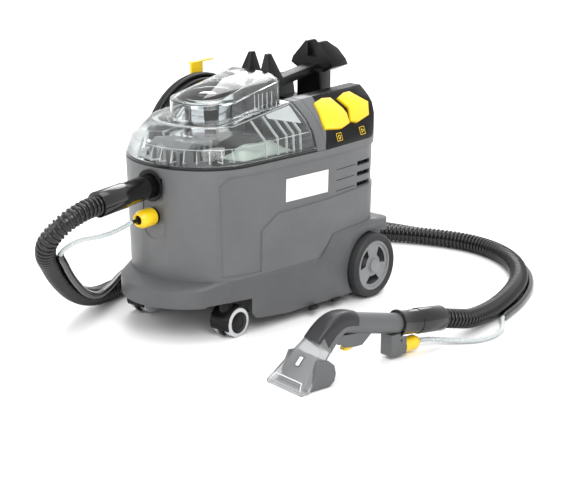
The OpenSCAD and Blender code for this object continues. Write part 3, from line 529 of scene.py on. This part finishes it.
@dataclass
class Studio:
    """Camera, lights and pale floor.

    Args:
        eye: the camera's place.
        aim: the point that it looks at.
        lens: focal length for a 36 mm wide sensor, in millimetres.
    """

    eye: Vector = Vector((-2.1587, -1.9209, 0.9809))
    aim: Vector = Vector((0.12095, -0.00945, 0.08319))
    lens: float = 107.65

    def build(self) -> None:
        """Sets up the camera, the floor, the lights and the sky."""
        camera = show("camera", bpy.data.cameras.new("camera"))
        camera.data.lens = self.lens
        camera.data.sensor_width = SENSOR_WIDTH
        camera.data.clip_end = 50.0
        camera.location = self.eye
        camera.rotation_euler = (self.aim - self.eye).to_track_quat("-Z", "Y").to_euler()
        bpy.context.scene.camera = camera
        self.floor()
        for lamp in LAMPS:
            self.light(*lamp)
        world = bpy.data.worlds.new("studio")
        world.use_nodes = True
        sky = world.node_tree.nodes["Background"]
        sky.inputs["Color"].default_value = rgba((1.0, 1.0, 1.0))
        sky.inputs["Strength"].default_value = SKY_STRENGTH
        bpy.context.scene.world = world
        bpy.context.scene.view_settings.view_transform = "Standard"

    def floor(self) -> None:
        """A wide pale floor with a faint mottling."""
        build = bmesh.new()
        bmesh.ops.create_grid(build, x_segments=2, y_segments=2, size=FLOOR_REACH)
        bmesh.ops.translate(build, verts=build.verts, vec=(0.0, 0.0, -FLOOR_GAP))
        mesh = mesh_from("floor", build)
        graph = Graph("floor_pale")
        tint = graph.blend(graph.noise(3.0) + 0.5, rgba(FLOOR_WHITE), rgba(FLOOR_WHITE, FLOOR_GAIN))
        graph.feed(graph.shader.inputs["Base Color"], tint)
        graph.shader.inputs["Roughness"].default_value = 0.55
        mesh.materials.append(graph.material)
        show("floor", mesh)

    def light(self, name: str, place: tuple[float, float, float], size: float,
              power: float) -> None:
        """Adds one soft square light aimed at the machine, size in metres and power in watts."""
        data = bpy.data.lights.new(name, "AREA")
        data.size = size
        data.energy = power
        lamp = show(name, data)
        lamp.location = place
        lamp.rotation_euler = (LAMPS_AIM - Vector(place)).to_track_quat("-Z", "Y").to_euler()


# Centrelines in millimetres, each from the machine outwards.
HOSE_ROUTE = [
    (-339, 0, 251), (-372, 0, 247), (-404, 8, 232), (-421, 26, 205), (-408, 48, 176),
    (-378, 72, 148), (-345, 96, 118), (-308, 120, 88), (-266, 143, 58), (-220, 162, 34),
    (-170, 178, 20), (-100, 194, 17), (-20, 206, 17), (70, 212, 17), (160, 213, 17),
    (250, 200, 17), (335, 172, 17), (410, 118, 17), (466, 40, 17), (505, -50, 17),
    (521, -135, 17), (503, -215, 17), (455, -283, 17), (385, -335, 17), (300, -370, 17),
    (215, -391, 18), (140, -400, 24), (95, -397.5, 34), (57, -391, 44)]
# Turn of the sleeve about the hose, 0 being to its left and 90 above, from this point of the route on.
SHEATH_FIRST = 4
SHEATH_TURN = [180, 180, 180, 180, 180, 170, 140, 100, 85, 75, 70, 65, 60, 50, 25, 0, -20, -28, -28,
               -28, -28, -28]
SPRAY_FROM_MACHINE = [
    (-263, 0, 206), (-285, -1, 202), (-312, -1, 199), (-340, 2, 198), (-364, 8, 198),
    (-382, 17, 192)]
SPRAY_TO_NOZZLE = [
    (196, -425, 5.5), (168, -441, 4.5), (135, -448, 4.5), (103, -442, 4.5), (78, -425, 6),
    (55, -405, 9), (33, -389, 13), (12, -382.5, 15.5)]
CORD_FROM_GLAND = [(2, 158, 202), (2, 158, 182)]
CORD_TO_PLUG = [(-56, 174, 240), (-56, 174, 216), (-56, 174, 200), (-56, 174, 187)]


CORE_SIDES = 20
RIB_SIDES = 22
BEAD_SIDES = 7


def polyline(name: str, path: list[Vector]) -> bpy.types.Curve:
    """A curve of straight lengths through the path's points."""
    line = bpy.data.curves.new(name, "CURVE")
    line.dimensions = "3D"
    spline = line.splines.new("POLY")
    spline.points.add(len(path) - 1)
    for spot, point in zip(spline.points, path):
        spot.co = (*point, 1.0)
    return line


class RibTree:
    """A Geometry Nodes tree that sets round ribs along a curve and sweeps a plain tube inside them."""

    def __init__(self, name: str) -> None:
        self.group = bpy.data.node_groups.new(name, "GeometryNodeTree")
        face = self.group.interface
        face.new_socket("Curve", in_out="INPUT", socket_type="NodeSocketGeometry")
        self.sockets = {}
        for label, kind in (("Pitch", "Float"), ("Core Radius", "Float"), ("Rib Radius", "Float"),
                            ("Finish", "Material")):
            self.sockets[label] = face.new_socket(
                label, in_out="INPUT", socket_type="NodeSocket" + kind).identifier
        face.new_socket("Mesh", in_out="OUTPUT", socket_type="NodeSocketGeometry")
        self.source = self.node("NodeGroupInput")
        self._fill()

    def node(self, kind: str, links: dict | None = None, **settings) -> bpy.types.Node:
        """Adds a node and links sockets or values into it."""
        made = self.group.nodes.new(kind)
        for key, value in settings.items():
            setattr(made, key, value)
        for key, value in (links or {}).items():
            if isinstance(value, bpy.types.NodeSocket):
                self.group.links.new(value, made.inputs[key])
            else:
                made.inputs[key].default_value = value
        return made

    def circle(self, sides: int, radius: bpy.types.NodeSocket) -> bpy.types.NodeSocket:
        """A circle with as many sides."""
        return self.node("GeometryNodeCurvePrimitiveCircle", {
            "Resolution": sides, "Radius": radius}).outputs[0]

    def _fill(self) -> None:
        """Lays out the tree: a core tube, ribs on even points, and both joined as one mesh."""
        curve, pitch = self.source.outputs["Curve"], self.source.outputs["Pitch"]
        core = self.source.outputs["Core Radius"]
        bead = self.circle(BEAD_SIDES, self.source.outputs["Rib Radius"])
        tube = self.node("GeometryNodeCurveToMesh", {
            "Curve": curve, "Profile Curve": self.circle(CORE_SIDES, core), "Fill Caps": True})
        ring = self.node("GeometryNodeCurveToMesh", {
            "Curve": self.circle(RIB_SIDES, core), "Profile Curve": bead})
        even = self.node("GeometryNodeResampleCurve", {"Curve": curve, "Length": pitch}, mode="LENGTH")
        spots = self.node("GeometryNodeCurveToPoints", {"Curve": even.outputs[0]}, mode="EVALUATED")
        ribs = self.node("GeometryNodeInstanceOnPoints", {
            "Points": spots.outputs["Points"], "Instance": ring.outputs[0],
            "Rotation": spots.outputs["Rotation"]})
        solid = self.node("GeometryNodeRealizeInstances", {"Geometry": ribs.outputs[0]})
        join = self.node("GeometryNodeJoinGeometry")
        self.group.links.new(tube.outputs[0], join.inputs[0])
        self.group.links.new(solid.outputs[0], join.inputs[0])
        smooth = self.node("GeometryNodeSetShadeSmooth", {"Geometry": join.outputs[0]})
        paint = self.node("GeometryNodeSetMaterial", {
            "Geometry": smooth.outputs[0], "Material": self.source.outputs["Finish"]})
        out = self.node("NodeGroupOutput")
        self.group.links.new(paint.outputs[0], out.inputs[0])

    def along(self, path: list[Vector], pitch: float, core: float, rib: float,
              finish: Finish) -> bpy.types.Mesh:
        """Runs the tree on a path.

        Args:
            path: centreline points.
            pitch: distance between ribs.
            core: radius of the plain tube and of each rib's circle.
            rib: radius of a rib's bead.
            finish: the finish of the whole.

        Returns:
            The ribbed mesh.
        """
        line = polyline("rib_line", path)
        carrier = show("rib_carrier", line)
        tree = carrier.modifiers.new("ribs", "NODES")
        tree.node_group = self.group
        for label, value in (("Pitch", pitch), ("Core Radius", core), ("Rib Radius", rib),
                             ("Finish", finish.material())):
            tree[self.sockets[label]] = value
        view = bpy.context.evaluated_depsgraph_get()
        mesh = bpy.data.meshes.new_from_object(carrier.evaluated_get(view))
        bpy.data.objects.remove(carrier)
        return mesh


@dataclass
class Hose:
    """The ribbed suction hose, with the spray tube in its sleeve beside it.

    Args:
        diameter: over the hose's ribs.
        pitch: distance between ribs.
        rib: radius of a rib's bead.
        sleeve: diameter of the sleeve.
        bare: diameter of the bare spray tube.
        apart: gap between hose and sleeve, in millimetres.
    """

    diameter: float = 0.034
    pitch: float = 0.0085
    rib: float = 0.0031
    sleeve: float = 0.013
    bare: float = 0.008
    apart: float = 0.5

    def build(self) -> None:
        """Makes the hose and the spray tube."""
        path = smooth_path(HOSE_ROUTE, 0.004)
        core = self.diameter / 2 - self.rib
        mesh = RibTree("hose_ribs").along(path, self.pitch, core, self.rib, HOSE)
        hose = piece("ribbed_hose", mesh, "housing", HOSE, ("suction_hose",))
        tuple(path[0])
        round(length_of(path), 2)
        self.spray()

    def beside(self) -> list[tuple[float, float, float]]:
        """Points of the sleeve's centreline, turned about the hose's own."""
        gap = (self.diameter + self.sleeve) / 2 / MM + self.apart
        points = []
        for index, turn in enumerate(SHEATH_TURN, start=SHEATH_FIRST):
            ahead = (Vector(HOSE_ROUTE[index + 1]) - Vector(HOSE_ROUTE[index - 1])).normalized()
            left = Vector((-ahead.y, ahead.x, 0.0)).normalized()
            up = ahead.cross(left)
            angle = math.radians(turn)
            aside = math.cos(angle) * left + math.sin(angle) * up
            points.append(tuple(Vector(HOSE_ROUTE[index]) + gap * aside))
        return points

    def spray(self) -> None:
        """The bare tube at both ends and its black sleeve between them."""
        middle = self.beside()
        path = smooth_path(SPRAY_FROM_MACHINE + middle + SPRAY_TO_NOZZLE, 0.006)
        first, last = Vector(middle[0]) * MM, Vector(middle[-1]) * MM
        start = min(range(len(path)), key=lambda k: (path[k] - first).length)
        stop = min(range(len(path)), key=lambda k: (path[k] - last).length)
        tucked = 2
        build = bmesh.new()
        for bare in (path[:start + tucked + 1], path[stop - tucked:]):
            sweep(build, bare, [self.bare / 2] * len(bare))
        sleeve = path[start:stop + 1]
        from_end = [min(k, len(sleeve) - 1 - k) for k in range(len(sleeve))]
        sweep(build, sleeve, [self.sleeve / 2 * min(1.0, 0.8 + 0.07 * k) for k in from_end], slot=1)
        mesh = mesh_from("spray_line", build)
        mesh.materials.append(TUBING.material())
        mesh.materials.append(HOSE.material())
        line = piece("spray_line", mesh, "housing", TUBING, ("spray_tube",))
        tuple(path[0])
        round(length_of(path), 2)


@dataclass
class PowerLead:
    """The mains lead, wound on the two hooks behind the machine.

    Args:
        diameter: of the lead.
        middle: centre of the coil.
        inner: radius of the innermost turn's centreline.
        first_row: y of the row nearest the machine.
        start: angle at which each turn starts, in degrees, 90 being above the middle.
        last_turn: share of a full turn in the last one.
        shift: share of a turn after which the lead moves over to the next turn's place.
        steps: points in one turn.
    """

    diameter: float = 0.008
    middle: Vector = Vector((0.080, 0.0, 0.240))
    inner: float = 0.112
    first_row: float = 0.158
    start: float = -135.0
    last_turn: float = 0.875
    shift: float = 0.86
    steps: int = 48

    def turns(self) -> list[tuple[int, int]]:
        """Layer and row of each turn, rows run out and back as a winder lays them."""
        order = [(layer, row if layer % 2 == 0 else 2 - row) for layer in range(3) for row in range(3)]
        return order + [(3, 1), (3, 2)]

    def coil(self) -> list[Vector]:
        """Points of the wound turns, each turn a diameter beside the last."""
        order = self.turns()
        last = len(order) - 1
        points = []
        for index, slot in enumerate(order):
            ahead = order[min(index + 1, last)]
            count = self.steps if index < last else int(self.steps * self.last_turn) + 1
            for share in (k / self.steps for k in range(count)):
                ease = max(0.0, min(1.0, (share - self.shift) / (1 - self.shift)))
                layer, row = Vector(slot).lerp(Vector(ahead), ease * ease * (3 - 2 * ease))
                angle = math.radians(self.start + 360.0 * share)
                radius = self.inner + layer * self.diameter
                points.append(self.middle + Vector((
                    radius * math.cos(angle), self.first_row + row * self.diameter,
                    radius * math.sin(angle))))
        return points

    def build(self) -> None:
        """Makes the lead as one curve from the gland to the plug."""
        start = [Vector(point) * MM for point in CORD_FROM_GLAND]
        end = [Vector(point) * MM for point in CORD_TO_PLUG]
        points = start + self.coil() + end[1:]
        line = polyline("power_lead", points)
        line.bevel_depth = self.diameter / 2
        line.bevel_resolution = 4
        line.use_fill_caps = True
        line.materials.append(CORD.material())
        lead = show("power_lead", line)
        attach(lead, "housing")
        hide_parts("power_cord", "power_coil")
        round(length_of(points), 2)


@dataclass
class Casing:
    """Shells, covers and other mouldings whose CAD edges are rounded here.

    Args:
        rounding: reach of the rounding for each node, in millimetres.
    """

    rounding: dict[str, float]

    def build(self) -> None:
        """Stands a rounded copy in for each node."""
        for node, reach in self.rounding.items():
            mesh = rounded_copy(node, reach * MM)
            finish = SPECIAL.get(node, FINISHES[SLOT_OF[node]])
            piece(node + "_moulded", mesh, BODY_OF[node], finish, (node,))


@dataclass
class SwitchSigns:
    """The two small framed signs under the push buttons: a drop for spray, a fan for suction.

    Args:
        top: y and z of the lower facet's upper edge.
        foot: y and z of its lower edge.
        size: width of a sign's frame.
        stroke: width of its lines.
        proud: how far the lines stand off the facet.
        sunk: how far they start below it.
    """

    top: Vector = Vector((0.0, -0.137, 0.323))
    foot: Vector = Vector((0.0, -0.148, 0.290))
    size: float = 0.013
    stroke: float = 0.0011
    proud: float = 0.0004
    sunk: float = 0.0003

    def onto(self, x: float, across: float, down: float, lift: float) -> Vector:
        """A point on the facet, given across it, down it from the sign's middle, and off it."""
        slope = (self.foot - self.top).normalized()
        out = Vector((0.0, slope.z, -slope.y))
        middle = self.top.lerp(self.foot, 0.55)
        return Vector((x + across, 0.0, 0.0)) + middle + slope * down + out * lift

    def strip(self, build: bmesh.types.BMesh, x: float, line: list[tuple[float, float]]) -> None:
        """A closed flat band along a closed line drawn on the facet."""
        count = len(line)
        centre = Vector((sum(p[0] for p in line) / count, sum(p[1] for p in line) / count))
        rims = []
        for reach, lift in ((0.5, -self.sunk), (0.5, self.proud), (-0.5, self.proud),
                            (-0.5, -self.sunk)):
            ring = []
            for point in line:
                away = Vector(point) - centre
                grown = centre + away * (1 + reach * self.stroke / max(away.length, self.stroke))
                ring.append(build.verts.new(self.onto(x, grown.x, grown.y, lift)))
            rims.append(ring)
        for k in range(count):
            for low, high in zip(rims, rims[1:] + rims[:1]):
                build.faces.new((low[k], low[(k + 1) % count], high[(k + 1) % count], high[k]))

    def build(self) -> None:
        """Makes both signs as one raised print each."""
        half, reach = self.size / 2, 0.0034
        square = [(-half, -half), (half, -half), (half, half), (-half, half)]
        drop = [(0.0024 * math.sin(t) * (1 - 0.45 * math.cos(t)), 0.0006 + reach * math.cos(t))
                for t in ring_of(20)]
        swell = [(t, reach * (0.72 + 0.28 * math.cos(3 * t))) for t in ring_of(30)]
        swirl = [(size * math.cos(t), size * math.sin(t)) for t, size in swell]
        for name, x, glyph in (("sign_spray", 0.100, drop), ("sign_suction", 0.164, swirl)):
            build = bmesh.new()
            self.strip(build, x, square)
            self.strip(build, x, glyph)
            piece(name, mesh_from(name, build, 20.0), "housing", YELLOW)


@dataclass
class CasterTrim:
    """Dark crowned caps on the casters' outer faces.

    Args:
        axle: x and z of the casters' axle.
        outer: distance of the outer face from the middle plane.
        cap: radius of the dark cap.
    """

    axle: tuple[float, float] = (-0.134, 0.025)
    outer: float = 0.1175
    cap: float = 0.0185

    def build(self) -> None:
        """Makes a crowned cap on each caster."""
        for side in Side:
            name = side.name.lower()
            profile = [(self.cap, -0.0004), (self.cap, 0.0006), (self.cap - 0.0012, 0.0012),
                       (0.009, 0.0019), (0.0088, 0.0013), (0.004, 0.0016)]
            build = bmesh.new()
            turn_about_y(build, self.axle, side.value * self.outer, side.value, profile)
            piece("caster_cap_" + name, mesh_from("caster_cap_" + name, build),
                  "caster_roll_" + name, TRIM)


def turn_about_y(build: bmesh.types.BMesh, axle: tuple[float, float], base: float, way: int,
                 profile: list[tuple[float, float]], sides: int = 48) -> None:
    """Turns a profile about a cross axle into a closed disc.

    Args:
        build: edit mesh that receives it.
        axle: x and z of the axle.
        base: y from which the profile's heights count.
        way: 1 for a disc facing +Y, -1 for one facing -Y.
        profile: radius and height pairs, from the back edge to the middle of the face.
        sides: facets round the disc.
    """
    loft(build, [[build.verts.new((axle[0] + radius * math.cos(turn), base + way * height,
                                   axle[1] + radius * math.sin(turn)))
                  for turn in ring_of(sides)] for radius, height in profile])


@dataclass
class NozzleShells:
    """The nozzle's dark saddle over its elbow, the grey chin under it, and the mouth's trimmings.

    Args:
        place: the nozzle's own origin on the floor.
        yaw: turn of the nozzle about the upright, in degrees.
        spine: middle of both shells along and above the floor, their half width and the saddle's
            height over the middle, in millimetres, and the power of their rounding, 2 being round.
        depth: depth of the chin below the middle.
        wall: thickness of the shells.
        facets: facets from one edge of a shell to the other.
    """

    place: Vector = Vector((-0.268, -0.328, 0.0))
    yaw: float = -11.0
    spine: tuple[tuple[float, float, float, float, float], ...] = (
        (70, 55, 19.5, 24.0, 6.0), (80, 66, 19.6, 23.0, 5.0), (92, 76.5, 19.6, 21.5, 4.0),
        (106, 83.5, 19.3, 20.0, 3.0), (121, 84, 18.6, 18.8, 2.4), (138, 80, 17.6, 17.6, 2.0))
    depth: float = 18.0
    wall: float = 2.0
    facets: int = 24

    def own(self) -> Matrix:
        """The turn and shift from the nozzle's own frame, in millimetres, to the shared one."""
        return (Matrix.Translation(self.place) @ Matrix.Rotation(math.radians(self.yaw), 4, "Z")
                @ Matrix.Scale(MM, 4))

    def arch(self, first: float, last: float, shrink: float) -> bmesh.types.BMesh:
        """A half pipe along the spine, open on one side.

        Args:
            first: angle of its first edge, 90 being straight up from the spine.
            last: angle of its last edge.
            shrink: how far its outside lies inside the spine's half width.

        Returns:
            The closed shell in the shared frame.
        """
        build = bmesh.new()
        path = smooth_path([(u, 0.0, z) for u, z, *_ in self.spine], 0.003)
        reach = path[-1].x - path[0].x
        rows = []
        for index, point in enumerate(path):
            ahead = (path[min(index + 1, len(path) - 1)] - path[max(index - 1, 0)]).normalized()
            up = Vector((-ahead.z, 0.0, ahead.x))
            share = (point.x - path[0].x) / reach * (len(self.spine) - 1)
            knot = min(int(share), len(self.spine) - 2)
            here, there = Vector(self.spine[knot][2:]), Vector(self.spine[knot + 1][2:])
            wide, tall, power = here.lerp(there, share - knot)
            row = []
            around = range(self.facets + 1)
            for inside, turns in ((shrink, around), (shrink + self.wall, reversed(around))):
                for k in turns:
                    angle = math.radians(first + (last - first) * k / self.facets)
                    cosine, sine = math.cos(angle), math.sin(angle)
                    reach_out = (abs(cosine) ** power + abs(sine) ** power) ** (-1 / power)
                    height = (tall if sine > 0 else self.depth) - inside
                    row.append(build.verts.new(point / MM + reach_out * (
                        cosine * (wide - inside) * Vector((0.0, 1.0, 0.0)) + sine * height * up)))
            rows.append(row)
        loft(build, rows)
        build.transform(self.own())
        return build

    def plate(self, half: tuple[float, float], lift: float) -> bmesh.types.BMesh:
        """A small block lying on the mouth's front face, by half sizes along and across it."""
        build = bmesh.new()
        bmesh.ops.create_cube(build, size=2.0)
        lean = Matrix.Rotation(math.radians(-46.8), 4, "Y")
        place = self.own() @ Matrix.Translation((31.5, 0.0, 38.7)) @ lean
        build.transform(place @ Matrix.Translation((0.0, 0.0, lift))
                        @ Matrix.Diagonal((*half, 0.4, 1.0)))
        return build

    def build(self) -> None:
        """Makes both shells, the two layers of the plate and the bright ledge along the mouth."""
        for name, shape, smooth, finish in (
                ("elbow_saddle", self.arch(-8.0, 188.0, 0.0), 50.0, SADDLE),
                ("elbow_chin", self.arch(190.0, 350.0, 0.8), 50.0, NOZZLE),
                ("mouth_plate", self.plate((9.5, 5.5), 0.2), 32.0, BAND),
                ("mouth_label", self.plate((7.6, 3.6), 0.5), 32.0, BADGE)):
            piece(name, mesh_from(name, shape, smooth), "housing", finish)
        ledge = bmesh.new()
        along = Vector((68.3, 0.0, 72.9))
        base = Vector((-0.2, 0.0, 5.2))
        line = [base + along * share + Vector((0.0, across, 0.0))
                for share, across in ((0.03, -37.0), (0.15, -31.0), (0.15, 31.0), (0.03, 37.0))]
        sweep(ledge, [self.own() @ point for point in line], [0.0009] * len(line), 8)
        piece("mouth_ledge", mesh_from("mouth_ledge", ledge), "housing", GLEAM)


Edge = tuple[tuple[float, float], tuple[float, float]]


@dataclass
class LidInside:
    """Ribs, fins, painted highlight lines, painted reflection plates and the milky foam inside the
    clear lid, in millimetres.

    Args:
        nose: x of the middle of the lid's round nose.
        rear: x of the lid's rear wall.
        foot: height of the lid's lower edge.
        shoulder: half width and height of the break above the side wall, at the nose and at the rear.
        ledge: half width and height of the upper break, at the nose and at the rear.
    """

    nose: float = -101.0
    rear: float = 33.0
    foot: float = 298.0
    shoulder: Edge = ((114.0, 321.0), (128.0, 327.0))
    ledge: Edge = ((84.0, 350.0), (88.0, 366.0))

    def build(self) -> None:
        """Makes each group as one piece that rides with the lid."""
        # lid_edges holds painted highlight lines and lid_shoulders painted reflection plates.
        for name, fill, smooth in (
                ("lid_ribs", self.ribs, 20.0), ("lid_edges", self.highlight_edges, 32.0),
                ("tower_ribs", self.pillars, 32.0), ("lid_shoulders", self.shoulder_reflections, 32.0),
                ("nose_fins", self.fins, 32.0)):
            group = bmesh.new()
            fill(group)
            piece(name, mesh_from(name, group, smooth), "lid", GLEAM)
        self.foam()

    def at(self, edge: Edge, x: float) -> Vector:
        """Half width and height of a break at x."""
        share = (x - self.nose) / (self.rear - self.nose)
        return Vector(edge[0]).lerp(Vector(edge[1]), share)

    def ribs(self, build: bmesh.types.BMesh) -> None:
        """Upright ribs against both side walls."""
        half_thick = 0.9
        for side in Side:
            for x in (-62.0, -34.0, -14.0, 2.0, 18.0):
                low, high = self.at(self.shoulder, x), self.at(self.ledge, x)
                outline = [(low.x - 2, self.foot), (low.x - 2, low.y), (high.x - 1, high.y - 3),
                           (high.x - 4, high.y - 5), (low.x - 6, low.y - 2), (low.x - 5.5, self.foot)]
                loft(build, [[build.verts.new(Vector((x + shift, side.value * y, z)) * MM)
                              for y, z in outline] for shift in (-half_thick, half_thick)])

    def highlight_edges(self, build: bmesh.types.BMesh) -> None:
        """Painted highlights: bright lines round the nose and back along both sides, just inside the
        two breaks, where the lid's edges catch the light.
        """
        for reach, height, rear_edge in (((99.0, 115.0), 321.0, (130.0, 323.0)),
                                         ((61.0, 85.0), 350.0, (88.0, 366.0))):
            arc = [(self.nose + reach[0] * math.cos(t), reach[1] * math.sin(t), height)
                   for t in (math.pi * (0.5 + k / 16) for k in range(17))]
            y, z = rear_edge
            path = smooth_path([(self.rear, y, z)] + arc + [(self.rear, -y, z)], 0.004)
            sweep(build, path, [0.0007] * len(path), 8)

    def pillars(self, build: bmesh.types.BMesh) -> None:
        """Thin upright ribs on both sides of the tower."""
        for side in Side:
            for x in (-24.0, -14.0, -4.0, 8.0, 20.0):
                foot = Vector((x, side.value * 58.5, self.ledge[0][1] + 4.0))
                top = Vector((x, side.value * 57.5, 386.0))
                sweep(build, [foot * MM, top * MM], [0.0011, 0.0008], 8)

    def shoulder_reflections(self, build: bmesh.types.BMesh) -> None:
        """Painted reflection: a bright plate under each rear shoulder, where the slanted facet mirrors
        the lamps.
        """
        inset, thick = 1.5, 0.9
        for side in Side:
            corners = []
            for x, share in ((-28.0, 0.82), (31.0, 0.30), (31.0, 0.97), (-28.0, 0.97)):
                spot = self.at(self.shoulder, x).lerp(self.at(self.ledge, x), share)
                corners.append((x, side.value * (spot.x - inset), spot.y - inset))
            loft(build, [[build.verts.new(Vector((x, y, z - sink)) * MM) for x, y, z in corners]
                         for sink in (0.0, thick)])

    def fins(self, build: bmesh.types.BMesh) -> None:
        """Radial fins with upright ends inside the nose, long and short in turn."""
        for k in range(13):
            turn = math.pi * (0.58 + 0.84 * k / 12)
            way = Vector((math.cos(turn), math.sin(turn), 0.0))
            start = Vector((self.nose + way.x * 92.0, way.y * 104.0, self.foot + 1.0))
            inner = start - way * (14.0 + 8.0 * (k % 2))
            top = start - way * 6.0 + Vector((0.0, 0.0, 17.0))
            sweep(build, [inner * MM, start * MM], [0.0012, 0.0012], 6)
            sweep(build, [start * MM, top * MM], [0.0012, 0.0007], 6)

    def foam(self) -> None:
        """The milky foam on the near side under the lid, as one wavy closed slab."""
        build = bmesh.new()
        columns, rows = 28, 8
        grid = {}
        for i in range(columns + 1):
            x = -104.0 + 122.0 * i / columns
            for j in range(rows + 1):
                y = -106.0 + 54.0 * j / rows
                ebb = math.sin(math.pi * i / columns) ** 0.5 * math.sin(math.pi * j / rows) ** 0.5
                wave = 8.0 + 3.5 * math.sin(0.09 * x) * math.cos(0.11 * y)
                crest = self.foot + 1.0 + ebb * wave
                grid[i, j] = (build.verts.new(Vector((x, y, crest)) * MM),
                              build.verts.new(Vector((x, y, self.foot)) * MM))
        for i in range(columns):
            for j in range(rows):
                for layer in (0, 1):
                    build.faces.new([grid[i + a, j + b][layer]
                                     for a, b in ((0, 0), (1, 0), (1, 1), (0, 1))])
        border = ([(i, 0) for i in range(columns)] + [(columns, j) for j in range(rows)]
                  + [(i, rows) for i in range(columns, 0, -1)] + [(0, j) for j in range(rows, 0, -1)])
        for here, there in zip(border, border[1:] + border[:1]):
            build.faces.new((grid[here][0], grid[there][0], grid[there][1], grid[here][1]))
        piece("lid_foam", mesh_from("lid_foam", build), "lid", MILKY)


@dataclass
class GrooveShadeLines:
    """Painted shade: fine black strips for the shaded grooves that run forward from the vents on the
    switch side.

    Args:
        heights: height of each line.
        start: x of their front end.
        stop: x of their rear end.
        breadth: height of each line's stroke.
        recess: depth of the panel that they lie on.
        taper: how far the side wall leans in from its foot to its top.
    """

    heights: tuple[float, ...] = (210.0, 229.0, 248.0)
    start: float = 92.0
    stop: float = 144.0
    breadth: float = 1.3
    recess: float = 3.0
    taper: float = 5.0

    def build(self) -> None:
        """Makes the three strips of painted groove shade as one piece on the recessed panel."""
        low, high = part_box("body_shell")
        lean = self.taper / (high[2] - low[2]) * MM
        middle, sunk, thick = (self.start + self.stop) / 2 * MM, 0.0004, 0.0011
        build = bmesh.new()
        for z in (height * MM for height in self.heights):
            wall = low[1] + self.recess * MM + (high[2] - z) * lean
            bmesh.ops.create_cube(build, size=1.0, matrix=(
                Matrix.Translation((middle, wall + sunk, z))
                @ Matrix.Diagonal(((self.stop - self.start) * MM, thick, self.breadth * MM, 1.0))))
        piece("side_lines", mesh_from("side_lines", build), "housing", TRIM)


def dress_the_rest() -> None:
    """Gives every CAD node that still shows its own finish."""
    for name, node in frame["nodes"].items():
        material = SPECIAL.get(name, FINISHES[SLOT_OF[name]]).material()
        node.data.materials.clear()
        node.data.materials.append(material)


# The nozzle's fixed pieces and the plug stay as they are, so they aren't here.
ROUNDING = {
    "chassis": 1.6, "body_shell": 1.2, "seal_band": 1.5, "rear_cover": 1.6, "carry_handle": 2.6,
    "badge_plate": 0.4, "button_spray": 1.4, "button_vacuum": 1.4, "cord_hook_lower": 1.5,
    "cord_hook_arm": 1.5, "cord_hook_finger": 1.0, "cord_gland": 0.8, "skid_pads": 0.8}
ROUNDING |= {f"{twin}_{side.name.lower()}": reach for twin, reach in (
    ("tyre", 1.5), ("rim", 1.0), ("hub_cap", 0.8), ("caster_fork", 1.2), ("caster_wheels", 1.2))
    for side in Side}
ROUNDING |= {
    "dirty_tank": 0.6, "tank_lid": 1.1, "lint_sieve": 0.8, "hose_port": 0.8, "hose_cuffs": 0.8,
    "spray_port": 0.5, "spray_coupling": 0.8, "nozzle_trigger": 0.8, "float_cage": 1.0}


def main() -> None:
    """Builds the scene in order: studio, finishes, cords, casing and trimmings."""
    logging.basicConfig(level=logging.INFO, format="%(name)s: %(message)s")
    Studio().build()
    LOG.info("studio ready")
    dress_the_rest()
    Hose().build()
    PowerLead().build()
    LOG.info("cords ready")
    for group in (Casing(ROUNDING), SwitchSigns(), CasterTrim(), NozzleShells(), LidInside(),
                  GrooveShadeLines()):
        group.build()
    LOG.info("casing ready")


if __name__ == "__main__":
    main()
